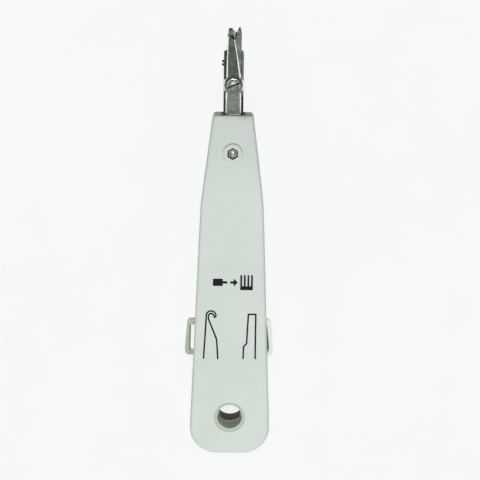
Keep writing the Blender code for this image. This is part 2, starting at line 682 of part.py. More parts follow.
def tab(name, owner, sx, out, window, finish):
    """A plastic carrier: a hub on the pivot pin and a finger loop, which stands out by out mm more."""
    hub = arc(FOLD_PIVOT_X, FOLD_PIVOT_Y, 3.0, 180, 360)
    outer = [(13.6, -49.5), (14.4, -47.6), (15.6 + out, -47.7), (17.0 + out, -47.0), (17.65 + out, -45.3),
             (16.75 + out, -34.3), (16.2 + out, -33.2), (15.4 + out, -32.8), (8.9, -32.8), (8.6, -50.0)]
    outline = hub + outer
    if sx < 0:
        outline, window = mirrored(outline), mirrored(window)
    made = piece(name, prism(outline, *TAB_Z), owner, finish)
    pocket = block(*sorted((sx * 9.6, sx * 12.6)), -49.7, -30.0, STEEL_Z[0] - SLIM_GAP, STEEL_Z[1] + SLIM_GAP)
    bore = hole(1.4, 7.0, 13.0, sx * FOLD_PIVOT_X, FOLD_PIVOT_Y, SMALL_CIRCLE)
    cut(made, prism(window, 8.0, 12.0), pocket, bore, rivet_hole(sx))


def hook_tab():
    """The left carrier, which stands out further and has the wider finger window."""
    window = filleted([(14.0, -45.7, 0.4), (16.8, -45.7, 0.5), (16.6, -35.0, 0.5), (14.0, -35.0, 0.4)])
    tab("hook_tab", "hook", -1, 1.3, window, tab_plastic("khaki"))


def blade_tab():
    """The right carrier, with a slanting finger window."""
    window = filleted([(14.0, -46.1, 0.4), (15.8, -46.1, 0.4), (16.25, -44.2, 0.6), (15.25, -35.2, 0.4),
                       (14.0, -35.0, 0.4)])
    tab("blade_tab", "blade", 1, 0.0, window, tab_plastic("cream"))


def rivet_hole(sx):
    return hole(FOLD_RIVET_R + SLIM_GAP, 7.0, 13.0, sx * RIVET_X, RIVET_Y, SMALL_CIRCLE)


def fold_rivet(name, owner, sx):
    """The rivet that holds a steel tool in its plastic carrier."""
    r, edge = FOLD_RIVET_R, 0.15
    low, high = TAB_Z[0] + 0.1, TAB_Z[1] - 0.1
    rivet = turned([(r - edge, low), (r, low + edge), (r, high - edge), (r - edge, high)], SMALL_CIRCLE)
    piece(name, moved(rivet, sx * RIVET_X, RIVET_Y), owner, spring_steel())


def fold_pin(name, sx):
    pin = [(1.05, 3.3), (1.2, 3.5), (1.2, 16.5), (1.05, 16.7)]
    piece(name, moved(turned(pin, SMALL_CIRCLE), sx * FOLD_PIVOT_X, FOLD_PIVOT_Y), "handle", spring_steel())


def wire_hook():
    """The flat steel hook in the left slot, with its crook turned inwards."""
    root = [(-12.4, -49.5), (-9.8, -49.5), (-9.8, -31.6), (-8.9, -29.0), (-8.9, -21.0)]
    crook = arc(-9.75, -12.9, 1.1, 195, 35, 20)
    barb = [(-8.15, -13.3), (-7.25, -12.7)]
    back = arc(-9.75, -12.9, 2.4, 25, 180, 15)
    outline = root + crook + barb + back + [(-12.4, -31.0)]
    cut(piece("wire_hook", prism(outline, *STEEL_Z), "hook", nickel()), rivet_hole(-1))


def release_blade():
    """The flat steel blade in the right slot, stepped on its inner edge."""
    outline = filleted([
        (9.8, -49.5, 0), (12.4, -49.5, 0), (12.4, -10.0, 0.25), (9.5, -10.0, 0.25), (8.8, -23.5, 0.4),
        (7.9, -24.6, 0.4), (7.8, -30.6, 0.4), (9.8, -32.0, 0)])
    cut(piece("release_blade", prism(outline, *STEEL_Z), "blade", nickel()), rivet_hole(1))


def build():
    for old in list(bpy.data.objects):
        bpy.data.objects.remove(old)
    body("handle")
    body("head")
    body("scissor", *PIVOT, ARM_Z[0])
    body("sensor", SENSOR_X, 76.0, SENSOR_Z)
    body("lock", -3.0, 73.0, 9.2)
    body("hook", -FOLD_PIVOT_X, FOLD_PIVOT_Y, MID_Z)
    body("blade", FOLD_PIVOT_X, FOLD_PIVOT_Y, MID_Z)
    front_shell()
    back_shell()
    handle_fasteners()
    main_spring()
    scissor_cam()
    head_channel()
    fixed_jaw()
    wire_stuffer()
    sensor()
    lock_slide()
    head_pivot()
    head_tail()
    scissor_arm()
    hook_tab()
    blade_tab()
    fold_pin("hook_pivot_pin", -1)
    fold_pin("blade_pivot_pin", 1)
    wire_hook()
    release_blade()
    fold_rivet("hook_rivet", "hook", -1)
    fold_rivet("blade_rivet", "blade", 1)


build()
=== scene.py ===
"""The looks of the punch down tool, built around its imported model.

Sizes are in millimetres in the model's own frame, and MM turns them into Blender's metres. +Y points
along the tool to its working end, +Z out of the face with the nut, and the tool lies on its back at Z = 0.
"""

import json
import math

import bmesh
import bpy
from mathutils import Matrix, Vector

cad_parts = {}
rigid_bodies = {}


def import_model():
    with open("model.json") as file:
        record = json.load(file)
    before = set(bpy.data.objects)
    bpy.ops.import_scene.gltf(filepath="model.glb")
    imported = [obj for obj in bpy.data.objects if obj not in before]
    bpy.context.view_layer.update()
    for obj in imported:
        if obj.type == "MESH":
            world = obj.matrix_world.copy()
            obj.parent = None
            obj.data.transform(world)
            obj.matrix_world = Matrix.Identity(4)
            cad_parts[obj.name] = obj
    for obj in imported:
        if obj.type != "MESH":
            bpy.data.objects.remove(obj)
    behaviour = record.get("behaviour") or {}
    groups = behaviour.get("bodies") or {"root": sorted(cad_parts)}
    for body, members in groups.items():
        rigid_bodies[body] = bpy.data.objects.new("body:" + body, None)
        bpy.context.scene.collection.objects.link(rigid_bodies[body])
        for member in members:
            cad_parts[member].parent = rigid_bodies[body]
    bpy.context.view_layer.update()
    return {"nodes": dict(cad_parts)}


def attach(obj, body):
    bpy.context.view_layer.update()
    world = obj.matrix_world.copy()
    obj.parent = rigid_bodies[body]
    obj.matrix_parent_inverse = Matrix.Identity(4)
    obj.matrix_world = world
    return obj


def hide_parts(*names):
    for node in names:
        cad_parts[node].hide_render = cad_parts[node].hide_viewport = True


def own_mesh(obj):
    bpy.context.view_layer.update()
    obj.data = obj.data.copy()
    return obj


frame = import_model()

MM = 0.001

# ---------- sizes
# They are the CAD model's, but the boss, the nut's pocket and the hanging hole were changed to suit the
# photo, by up to 0.25 mm, and the hole's back bore was made slightly oval.
LENGTH = 175.0
TAIL_Y = -LENGTH / 2
MID_Z = 10.0
GRIP_HALF_THICK = 10.0
NECK_HALF_THICK = 7.5
NECK_Y = 52.9
NECK_HALF_WIDTH = 8.13
NECK_TAPER = 0.129
GRIP_REF_Y = 10.4
GRIP_REF_HALF_WIDTH = 13.0
GRIP_TAPER = 0.0394
WAIST_BLEND = 0.26
TAIL_CORNER_R = 11.0
NECK_CORNER_R = 1.5
EDGE_R = 1.4
WALL = 1.8
SLOPE_START_Y = 8.0
SLOPE_BLEND = 12.0
SEAM_GAP = 0.3
SEAM_ROUND = 0.2
PIVOT = (0.0, 64.4)
BOSS_R = 4.4
FOLLOWER = (0.0, 49.0)
FORK_RIVET = (0.0, 69.1)
TAIL_PIN = (0.0, 9.6)
CLAMP = (0.0, 37.4)
PAD_R = 3.95
PAD_Z = 18.8
PAD_EDGE_R = 0.35
NUT_WIDTH = 3.6
NUT_POCKET_WIDTH = 4.15
EYE = (0.0, -72.0)
EYE_R = 5.05
EYE_BACK_R = 4.45
EYE_BACK_HALF_WIDTH = 5.4
EYE_MOUTH_R = 6.0
EYE_WALL = 1.5
EYE_CHAMFER = 1.5
EYE_BACK_CHAMFER = 0.3
# The hanging hole's bore has painted shade: darker below this range and lighter above it.
EYE_STEP_Z = (9.3, 9.9)     # where the bore's colour changes
REAR_SCREW = (0.0, -49.0)
FOLD_PIVOT = (11.0, -59.0)
SLOT_Z = (8.2, 11.8)
SLOT_Y = (-68.5, -8.0)
SENSOR_X = 0.9

ROUND = 96                  # facets of a large round part
SMALL_ROUND = 48            # facets of a small one
FILLET_STEP = 10.0          # degrees between the points of a rounded corner


# ---------- handle shape
def half_width(y):
    """Half the handle's width: two straight tapers with a soft bend between them."""
    grip = GRIP_REF_HALF_WIDTH + GRIP_TAPER * (GRIP_REF_Y - y)
    neck = NECK_HALF_WIDTH + NECK_TAPER * (NECK_Y - y)
    return 0.5 * (grip + neck - math.hypot(grip - neck, WAIST_BLEND))


def half_thick(y):
    """Half the handle's thickness: flat grip, a short curve, then a straight slope to the neck."""
    slope = (GRIP_HALF_THICK - NECK_HALF_THICK) / (NECK_Y - SLOPE_START_Y - SLOPE_BLEND / 2)
    past = y - SLOPE_START_Y
    if past <= 0:
        return GRIP_HALF_THICK
    if past < SLOPE_BLEND:
        return GRIP_HALF_THICK - slope * past ** 2 / (2 * SLOPE_BLEND)
    return GRIP_HALF_THICK - slope * (past - SLOPE_BLEND / 2)


def arc(cx, cy, r, start, end, step=5.0):
    """Points on a circle from start to end, in degrees, both ends included."""
    count = max(1, round(abs(end - start) / step))
    angles = [math.radians(start + (end - start) * i / count) for i in range(count + 1)]
    return [(cx + r * math.cos(a), cy + r * math.sin(a)) for a in angles]


def handle_side(inset):
    """The right half of the handle's outline, moved inwards, from the tail's middle to the neck's middle."""
    tail_r = TAIL_CORNER_R - inset
    neck_r = max(NECK_CORNER_R - inset, 0.1)
    tail_y = TAIL_Y + TAIL_CORNER_R
    neck_y = NECK_Y - max(inset, NECK_CORNER_R)
    tail = arc(half_width(tail_y) - TAIL_CORNER_R, tail_y, tail_r, -90, 0, 3.75)
    ys = [-66, -52, -38, -24, -10, 2] + [7 + 0.75 * i for i in range(20)] + [23 + 4 * i for i in range(7)]
    side = [(half_width(y) - inset, y) for y in ys]
    neck = arc(half_width(neck_y) - inset - neck_r, neck_y, neck_r, 0, 90, 9)
    return tail + side + neck


# ---------- mesh helpers
def stitch(rings, capped=True):
    """A closed mesh through rings of the same number of points, seen anticlockwise from the last one."""
    bm = bmesh.new()
    loops = [[bm.verts.new(p) for p in ring] for ring in rings]
    count = len(rings[0])
    for low, high in zip(loops, loops[1:]):
        for i in range(count):
            j = (i + 1) % count
            bm.faces.new((low[i], low[j], high[j], high[i]))
    if capped:
        bm.faces.new(list(reversed(loops[0])))
        bm.faces.new(loops[-1])
    return bm


def prism(outline, z0, z1):
    """An anticlockwise outline extruded from z0 to z1."""
    return stitch([[(x, y, z0) for x, y in outline], [(x, y, z1) for x, y in outline]])


def block(x0, x1, y0, y1, z0, z1):
    return prism([(x0, y0), (x1, y0), (x1, y1), (x0, y1)], z0, z1)


def around(sides):
    """The angles of evenly spaced points on a circle."""
    return [2 * math.pi * i / sides for i in range(sides)]


def turned(profile, sides=ROUND):
    """A solid of revolution about Z through the profile's (radius, height) points, from the bottom up."""
    turns = around(sides)
    return stitch([[(r * math.cos(a), r * math.sin(a), z) for a in turns] for r, z in profile])


def lathe_ring(corners):
    """A ring turned about Z from a closed (radius, height) section."""
    bm = bmesh.new()
    rings = [[bm.verts.new((r * math.cos(a), r * math.sin(a), z)) for r, z in corners] for a in around(ROUND)]
    for here, there in zip(rings, rings[1:] + rings[:1]):
        for k in range(len(corners)):
            m = (k + 1) % len(corners)
            bm.faces.new((here[k], there[k], there[m], here[m]))
    bmesh.ops.recalc_face_normals(bm, faces=bm.faces)
    return bm


def coil(radius, wire_r, y0, y1, turns, steps, sides):
    """A compression spring along Y with a closed turn at each end, its wire's centre between y0 and y1."""
    end_rise = 2.1 * wire_r
    rings = []
    for i in range(round(turns * steps) + 1):
        t = i / steps
        if t < 1:
            y = y0 + end_rise * t
        elif t > turns - 1:
            y = y1 - end_rise * (turns - t)
        else:
            y = y0 + end_rise + (y1 - y0 - 2 * end_rise) * (t - 1) / (turns - 2)
        a = 2 * math.pi * t
        centre = Vector((radius * math.cos(a), y, radius * math.sin(a)))
        out, up = Vector((math.cos(a), 0, math.sin(a))), Vector((0, 1, 0))
        rings.append([centre + wire_r * (out * math.cos(b) + up * math.sin(b)) for b in around(sides)])
    bm = stitch(rings)
    bmesh.ops.recalc_face_normals(bm, faces=bm.faces)
    return bm


def moved(bm, x=0.0, y=0.0, z=0.0):
    bmesh.ops.translate(bm, verts=bm.verts, vec=(x, y, z))
    return bm


def turned_to(bm, axis, degrees):
    """The mesh turned about the origin."""
    turn = Matrix.Rotation(math.radians(degrees), 3, axis)
    bmesh.ops.rotate(bm, verts=bm.verts, cent=(0, 0, 0), matrix=turn)
    return bm


def mirrored(outline):
    """An outline mirrored in the tool's centre plane, still anticlockwise."""
    return [(-x, y) for x, y in reversed(outline)]


def filleted(corners):
    """An outline from (x, y, radius) corners."""
    points = []
    count = len(corners)
    for i, (x, y, r) in enumerate(corners):
        here = Vector((x, y))
        if not r:
            points.append((x, y))
            continue
        back = (Vector(corners[i - 1][:2]) - here).normalized()
        ahead = (Vector(corners[(i + 1) % count][:2]) - here).normalized()
        half = back.angle(ahead) / 2
        centre = here + (back + ahead).normalized() * (r / math.sin(half))
        first = here + back * (r / math.tan(half)) - centre
        last = here + ahead * (r / math.tan(half)) - centre
        start = math.degrees(math.atan2(first.y, first.x))
        sweep = (math.degrees(math.atan2(last.y, last.x)) - start + 180) % 360 - 180
        points += arc(centre.x, centre.y, r, start, start + sweep, FILLET_STEP)
    return points


def mitre(back, ahead, distance):
    """The step to the left of a bend that moves both of its lines by this distance."""
    first, second = back.normalized(), ahead.normalized()
    side = Vector((-first.y - second.y, first.x + second.x)).normalized()
    return side * (distance / max(side.dot(Vector((-first.y, first.x))), 0.5))


def shrunk(outline, distance):
    """An anticlockwise outline moved inwards by this distance."""
    points = []
    for i, point in enumerate(outline):
        here, after = Vector(point), Vector(outline[(i + 1) % len(outline)])
        points.append(tuple(here + mitre(here - Vector(outline[i - 1]), after - here, distance)))
    return points


def layered(outline, levels):
    """A solid through one outline, moved inwards at each (inset, height) level."""
    return stitch([[(x, y, z) for x, y in shrunk(outline, inset)] for inset, z in levels])


def plate(outline, z0, z1, bevel, wide=None):
    """A flat part with bevelled edges. Its upper bevel may be wider across than it is deep."""
    wide = bevel if wide is None else wide
    return layered(outline, [(bevel, z0), (0.0, z0 + bevel), (0.0, z1 - bevel), (wide, z1)])


def ribbon(path, width):
    """The outline of a stroke of constant width along a path."""
    left, right = [], []
    last = len(path) - 1
    for i, point in enumerate(path):
        here = Vector(point)
        back = here - Vector(path[i - 1]) if i else Vector(path[1]) - here
        ahead = Vector(path[i + 1]) - here if i < last else back
        step = mitre(back, ahead, width / 2)
        left.append(tuple(here + step))
        right.append(tuple(here - step))
    return right + list(reversed(left))


# ---------- object helpers
def raw_object(name, bm, finish):
    """An object in the row frame from a mesh in millimetres, in one material."""
    bmesh.ops.scale(bm, verts=bm.verts, vec=(MM, MM, MM))
    mesh = bpy.data.meshes.new(name)
    bm.to_mesh(mesh)
    bm.free()
    mesh.materials.append(finish)
    made = bpy.data.objects.new(name, mesh)
    bpy.context.scene.collection.objects.link(made)
    return made


def boolean(target, operation, meshes, finish=None):
    """One Boolean with every given mesh, applied at once. A finish colours the faces that it makes."""
    group = bpy.data.collections.new("operands")
    bpy.context.scene.collection.children.link(group)
    for bm in meshes:
        shape = raw_object("operand", bm, finish or target.data.materials[0])
        bpy.context.scene.collection.objects.unlink(shape)
        group.objects.link(shape)
    modifier = target.modifiers.new("boolean", "BOOLEAN")
    modifier.operation = operation
    modifier.solver = "EXACT"
    modifier.operand_type = "COLLECTION"
    modifier.material_mode = "TRANSFER"
    modifier.collection = group
    apply_modifiers(target)
    for shape in list(group.objects):
        mesh = shape.data
        bpy.data.objects.remove(shape)
        bpy.data.meshes.remove(mesh)
    bpy.data.collections.remove(group)


def apply_modifiers(target):
    """The object's mesh as its modifiers leave it, with the modifiers gone."""
    evaluated = target.evaluated_get(bpy.context.evaluated_depsgraph_get())
    result = bpy.data.meshes.new_from_object(evaluated)
    old = target.data
    target.modifiers.clear()
    target.data = result
    result.name = target.name
    bpy.data.meshes.remove(old)


def finish_piece(made, owner, slot, *nodes, bevel=0.0, sharp=35.0):
    """Gives a piece its edges, its shading and its body, and says which CAD nodes it stands for."""
    if bevel:
        edge = made.modifiers.new("edges", "BEVEL")
        edge.width = bevel * MM
        edge.segments = 2
        edge.limit_method = "ANGLE"
        edge.angle_limit = math.radians(40)
        edge.use_clamp_overlap = True
        apply_modifiers(made)
    made.data.shade_smooth()
    made.data.set_sharp_from_angle(angle=math.radians(sharp))
    made.modifiers.new("shading", "WEIGHTED_NORMAL").keep_sharp = True
    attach(made, owner)
    if nodes:
        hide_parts(*nodes)
    return made


# ---------- materials
class Shader:
    """A Principled material whose node tree is built with short calls, all in the row frame's metres."""

    def __init__(self, name, metallic=0.0):
        self.material = bpy.data.materials.new(name)
        self.material.use_nodes = True
        self.nodes = self.material.node_tree.nodes
        self.links = self.material.node_tree.links
        self.surface = self.nodes["Principled BSDF"]
        self.surface.inputs["Metallic"].default_value = metallic
        self.place = self.nodes.new("ShaderNodeTexCoord").outputs["Object"]

    def stretched(self, scale):
        """The position with Y scaled down, so that noise reads as grain along the tool."""
        node = self.nodes.new("ShaderNodeMapping")
        node.inputs["Scale"].default_value = (1.0, scale, 1.0)
        self.links.new(self.place, node.inputs["Vector"])
        return node.outputs["Vector"]

    def noise(self, scale, detail=3.0, roughness=0.5, at=None):
        """Noise with this many features per metre."""
        node = self.nodes.new("ShaderNodeTexNoise")
        node.inputs["Scale"].default_value = scale
        node.inputs["Detail"].default_value = detail
        node.inputs["Roughness"].default_value = roughness
        self.links.new(self.place if at is None else at, node.inputs["Vector"])
        return node.outputs["Fac"]

    def ramp(self, value, low, high, to_low=0.0, to_high=1.0):
        """The value mapped from one range to another and clamped."""
        node = self.nodes.new("ShaderNodeMapRange")
        node.interpolation_type = "SMOOTHSTEP"
        for socket, number in zip(node.inputs[1:5], (low, high, to_low, to_high)):
            socket.default_value = number
        self.links.new(value, node.inputs[0])
        return node.outputs[0]

    def math(self, operation, a, b):
        node = self.nodes.new("ShaderNodeMath")
        node.operation = operation
        for socket, value in zip(node.inputs, (a, b)):
            if isinstance(value, (int, float)):
                socket.default_value = value
            else:
                self.links.new(value, socket)
        return node.outputs[0]

    def times(self, a, b):
        return self.math("MULTIPLY", a, b)

    def blend(self, factor, a, b):
        """Colour a where factor is 0 and b where it is 1. Each is a colour or a socket."""
        node = self.nodes.new("ShaderNodeMix")
        node.data_type = "RGBA"
        self.links.new(factor, node.inputs[0])
        for socket, value in zip(node.inputs[6:8], (a, b)):
            if isinstance(value, tuple):
                socket.default_value = (*value, 1.0)
            else:
                self.links.new(value, socket)
        return node.outputs[2]

    def axis(self, name, vector=None):
        """One axis of the position, or of another vector."""
        node = self.nodes.new("ShaderNodeSeparateXYZ")
        self.links.new(self.place if vector is None else vector, node.inputs[0])
        return node.outputs[name]

    def along(self, name, low, high, to_low=0.0, to_high=1.0):
        """A ramp between two places, in millimetres, on one axis."""
        return self.ramp(self.axis(name), low * MM, high * MM, to_low, to_high)

    def facing(self, name):
        """One axis of the surface's own direction."""
        return self.axis(name, self.nodes.new("ShaderNodeTexCoord").outputs["Normal"])

    def distance(self, x, y):
        """Distance in metres from the line through (x, y) in millimetres along Z."""
        dx = self.math("SUBTRACT", self.axis("X"), x * MM)
        dy = self.math("SUBTRACT", self.axis("Y"), y * MM)
        return self.math("SQRT", self.math("ADD", self.times(dx, dx), self.times(dy, dy)), 0.0)

    def band(self, distance, rise, fall, strength):
        """Full strength between a rising and a falling edge, each a range of the distance in millimetres."""
        inner = self.ramp(distance, rise[0] * MM, rise[1] * MM)
        return self.times(inner, self.ramp(distance, fall[0] * MM, fall[1] * MM, strength, 0.0))

    def set(self, socket, value):
        if isinstance(value, (int, float)):
            self.surface.inputs[socket].default_value = value
        else:
            self.links.new(value, self.surface.inputs[socket])

    def bump(self, height, millimetres, strength=1.0):
        """Relief of this depth; a later call sits on the earlier one."""
        node = self.nodes.new("ShaderNodeBump")
        node.inputs["Distance"].default_value = millimetres * MM
        node.inputs["Strength"].default_value = strength
        self.links.new(height, node.inputs["Height"])
        earlier = self.surface.inputs["Normal"]
        if earlier.is_linked:
            self.links.new(earlier.links[0].from_socket, node.inputs["Normal"])
        self.links.new(node.outputs["Normal"], earlier)


# x, y, radius and strength
STAINS = ((4.5, 51.5, 1.2, 0.5), (3.4, 51.8, 0.7, 0.3), (-4.3, 45.5, 0.4, 0.35), (-8.6, 34.5, 0.4, 0.4))


def neck_dirt_and_shade(s, tone):
    """The handle's end is smudged, with a few stains near it, and its end face and the last few millimetres
    before it are darkened with painted shade.
    """
    smudge = s.times(s.along("Y", 49.5, 52.6), s.ramp(s.noise(160, 3), 0.35, 0.7, 0.15, 0.55))
    tone = s.blend(smudge, tone, (0.47, 0.51, 0.41))
    # Painted shade: the end face and the last few millimetres before it are darkened.
    end = s.math("ADD", s.along("Y", 52.3, 52.8, 0.0, 0.72), s.along("Y", 50.5, 52.6, 0.0, 0.16))
    tone = s.blend(end, tone, (0.095, 0.130, 0.098))
    for x, y, radius, strength in STAINS:
        spot = s.ramp(s.distance(x, y), 0.0, radius * MM, strength, 0.0)
        tone = s.blend(spot, tone, (0.36, 0.39, 0.22))
    return tone


def shell_plastic():
    """Pale green-grey ABS with a fine spark-eroded grain, a little uneven in colour, grubby near the neck.
    Painted shade darkens its slope towards the neck, its sides, the neck opening, the hanging hole's bore,
    the chamfer's outer edge and the head side of the nut pad's rim, and painted light brightens the hole's
    chamfer.
    """
    s = Shader("shell_plastic")
    broad = s.noise(38, 3, 0.55)
    tone = s.blend(s.ramp(broad, 0.35, 0.65), (0.640, 0.715, 0.655), (0.685, 0.750, 0.700))
    tone = s.blend(s.ramp(s.noise(900, 2), 0.3, 0.7, 0.0, 0.35), tone, (0.620, 0.690, 0.635))
    tone = s.blend(s.ramp(s.noise(420, 1), 0.78, 0.81, 0.0, 0.22), tone, (0.42, 0.45, 0.38))
    # Painted shade: the face darkens along its slope towards the neck, more where the broad noise is darker.
    slope_shade = s.times(s.along("Y", 10, 48, 0.0, 0.55), s.ramp(broad, 0.3, 0.7, 0.75, 1.0))
    tone = neck_dirt_and_shade(s, s.blend(slope_shade, tone, (0.50, 0.565, 0.505)))

    off_centre = s.math("ABSOLUTE", s.axis("X"), 0.0)
    # Painted shade: near black under the neck opening's lip, with its specular turned down as well.
    mouth_shade = s.times(s.along("Y", 52.2, 52.6), s.along("Z", 16.5, 17.2, 0.98, 0.0))
    mouth_shade = s.times(mouth_shade, s.ramp(off_centre, 4.6 * MM, 5.2 * MM, 1.0, 0.0))
    tone = s.blend(mouth_shade, tone, (0.012, 0.014, 0.009))
    # Painted shade: faces turned sideways near the handle's edges are darkened.
    sides = s.ramp(s.math("ABSOLUTE", s.facing("X"), 0.0), 0.35, 0.95, 0.0, 0.5)
    sides = s.times(sides, s.ramp(off_centre, 7.0 * MM, 7.8 * MM))
    tone = s.blend(sides, tone, (0.30, 0.35, 0.30))

    from_eye = s.distance(*EYE)
    # Painted light: the hanging hole's chamfer is lightened.
    chamfer = s.ramp(from_eye, (EYE_MOUTH_R - 0.1) * MM, (EYE_MOUTH_R + 0.1) * MM, 0.8, 0.0)
    tone = s.blend(chamfer, tone, (0.86, 0.93, 0.81))
    # Painted shade: a dark line round the chamfer's outer edge.
    tone = s.blend(s.band(from_eye, (5.8, 6.0), (6.2, 6.5), 0.6), tone, (0.32, 0.37, 0.31))
    # Painted shade: the bore's walls are dark and darkest in the back shell, with specular turned down there.
    bore = s.ramp(from_eye, (EYE_R + 0.02) * MM, (EYE_R + 0.09) * MM, 1.0, 0.0)
    walls = s.blend(s.along("Z", *EYE_STEP_Z), (0.055, 0.048, 0.012), (0.27, 0.36, 0.25))
    tone = s.blend(bore, tone, walls)
    lower_bore = s.times(bore, s.along("Z", *EYE_STEP_Z, 1.0, 0.0))

    # Painted shade: a dark arc on the head side of the nut pad's rim.
    foot = s.band(s.distance(*CLAMP), (3.7, 3.9), (4.1, 4.4), 1.0)
    foot = s.times(foot, s.along("Y", 36.5, 41.5, 0.0, 0.75))
    tone = s.blend(foot, tone, (0.26, 0.30, 0.25))
    s.set("Base Color", tone)
    s.set("Roughness", s.ramp(s.noise(120, 4), 0.3, 0.7, 0.40, 0.52))
    s.set("Specular IOR Level", s.ramp(s.math("MAXIMUM", lower_bore, mouth_shade), 0.0, 1.0, 0.42, 0.04))
    s.bump(s.noise(2600, 2, 0.6), 0.012, 0.5)
    s.bump(s.noise(160, 2), 0.03, 0.15)
    return s.material


def tab_plastic(name, light, dark):
    """Glossier moulded plastic, slightly cloudy, with flow marks along the loop."""
    s = Shader(name)
    cloud = s.noise(260, 4, 0.6, s.stretched(0.35))
    s.set("Base Color", s.blend(s.ramp(cloud, 0.3, 0.7), light, dark))
    s.set("Roughness", s.ramp(s.noise(500, 2), 0.3, 0.7, 0.28, 0.42))
    s.surface.inputs["Subsurface Weight"].default_value = 0.12
    s.surface.inputs["Subsurface Radius"].default_value = (0.8, 0.7, 0.5)
    s.surface.inputs["Subsurface Scale"].default_value = 0.0012
    s.bump(s.noise(1500, 2), 0.01, 0.4)
    return s.material


STAIN = (0.30, 0.28, 0.20)
SCORCH = (0.075, 0.070, 0.050)
BLACK_BELOW = (0.02, 0.022, 0.014)
SHADE = (0.115, 0.100, 0.070)


def metal(name, bright, dull, roughness, grain=1500, stained=False, black_below_y=None, painted_tail_tone=None, pitted=0.0,
          shaded=False):
    """Steel with grain along its length, clouding and fine scratches.

    A stained piece is brown and scorched near the tool's tip. Another may be near black on the tail side of a
    range of Y: painted shade where the moving blade enters the neck, and a darkening of the channel on the
    tail side of its boss. Another may have a different colour on the tail side of the pivot: painted light on
    the moving blade's flat, and on the washer a lighter tail side beside painted shade on its head side. A
    pitted one has hollows of this depth. A shaded one has painted shade along the tool's left side.
    """
    s = Shader(name, metallic=1.0)
    lengthwise = s.noise(grain, 4, 0.65, s.stretched(0.06))
    cloud = s.noise(420, 4, 0.6)
    tone = s.blend(s.ramp(cloud, 0.3, 0.7), bright, dull)
    tone = s.blend(s.ramp(lengthwise, 0.35, 0.75, 0.0, 0.45), tone, tuple(0.6 * c for c in dull))
    if stained:
        patch = s.times(s.along("Y", 81.5, 84.5), s.ramp(s.noise(1100, 3), 0.35, 0.6))
        tone = s.blend(patch, tone, STAIN)
        scorch = s.times(s.along("Y", 85.6, 86.6), s.ramp(s.noise(900, 2), 0.3, 0.7, 0.75, 1.0))
        tone = s.blend(scorch, tone, SCORCH)
    # Near black on the tail side of a range of Y: painted shade on the moving blade, a darkening of the
    # channel.
    if black_below_y:
        start, end = black_below_y
        ragged = s.math("ADD", s.axis("Y"), s.ramp(cloud, 0.3, 0.7, -0.4 * MM, 0.4 * MM))
        tone = s.blend(s.ramp(ragged, start * MM, end * MM, 0.88, 0.0), tone, BLACK_BELOW)
    # Another colour on the tail side of the pivot: painted light on the moving blade's flat, and the washer's
    # lighter side beside its painted shade.
    if painted_tail_tone:
        tone = s.blend(s.along("Y", 62.8, 64.8, 0.85, 0.0), tone, painted_tail_tone)
    if shaded:
        tone = s.blend(s.along("X", -3.4, -2.2, 0.85, 0.0), tone, SHADE)
    s.set("Base Color", tone)
    s.set("Roughness", s.ramp(s.noise(500, 3), 0.3, 0.7, *roughness))
    s.bump(lengthwise, 0.002, 0.5)
    scratches = s.ramp(s.noise(2600, 1, 0.5, s.stretched(0.12)), 0.72, 0.76)
    s.bump(scratches, 0.003, 0.5)
    if pitted:
        s.bump(s.noise(1500, 3, 0.6), pitted)
    return s.material


def recess_shade_paint():
    """Near-black painted shade for the walls and bottoms of recesses, slots and gaps."""
    s = Shader("recess_painted_shade")
    cloud = s.ramp(s.noise(1800, 3), 0.3, 0.7)
    s.set("Base Color", s.blend(cloud, (0.008, 0.009, 0.006), (0.030, 0.031, 0.023)))
    s.set("Roughness", s.ramp(s.noise(900, 2), 0.3, 0.7, 0.6, 0.8))
    s.set("Specular IOR Level", 0.1)
    s.bump(s.noise(1800, 3), 0.03, 0.5)
    return s.material


def ink():
    """Pad-printed ink, thin and slightly broken where the grain under it shows through."""
    s = Shader("ink")
    broken = s.ramp(s.noise(2200, 3, 0.7), 0.60, 0.74, 0.0, 0.3)
    s.set("Base Color", s.blend(broken, (0.006, 0.009, 0.018), (0.08, 0.10, 0.10)))
    s.set("Roughness", s.ramp(s.noise(700, 2), 0.3, 0.7, 0.5, 0.7))
    s.set("Specular IOR Level", 0.15)
    s.bump(s.noise(2600, 2, 0.6), 0.01, 0.4)
    return s.material


def floor_paint():
    """The diffusing top of a light table, matt and hardly uneven, which glows and leaves faint shadows."""
    s = Shader("studio_floor")
    cloud = s.ramp(s.noise(9, 2), 0.3, 0.7)
    s.set("Base Color", s.blend(cloud, (0.080, 0.082, 0.081), (0.090, 0.092, 0.091)))
    s.surface.inputs["Emission Color"].default_value = (0.985, 1.0, 0.992, 1.0)
    s.set("Emission Strength", 0.845)
    s.set("Roughness", s.ramp(s.noise(60, 2), 0.3, 0.7, 0.75, 0.85))
    s.bump(s.noise(700, 2), 0.02, 0.1)
    return s.material


SHELL = shell_plastic()
CREAM = tab_plastic("tab_cream", (0.89, 0.91, 0.845), (0.84, 0.86, 0.79))
# The hook's loop is the same cream nylon as the blade's; its darker khaki tone is painted shade.
KHAKI = tab_plastic("tab_khaki", (0.50, 0.54, 0.44), (0.42, 0.46, 0.37))
# Painted shade: the finger windows' walls get darker tones than the cream nylon, so each reads as a shaded
# line.
BLADE_WINDOW_SHADE = tab_plastic("tab_window", (0.48, 0.52, 0.43), (0.40, 0.44, 0.36))
HOOK_WINDOW_SHADE = tab_plastic("tab_window_khaki", (0.64, 0.70, 0.66), (0.54, 0.59, 0.56))
NICKEL = metal("nickel_plate", (0.40, 0.45, 0.40), (0.31, 0.36, 0.31), (0.22, 0.28), stained=True)
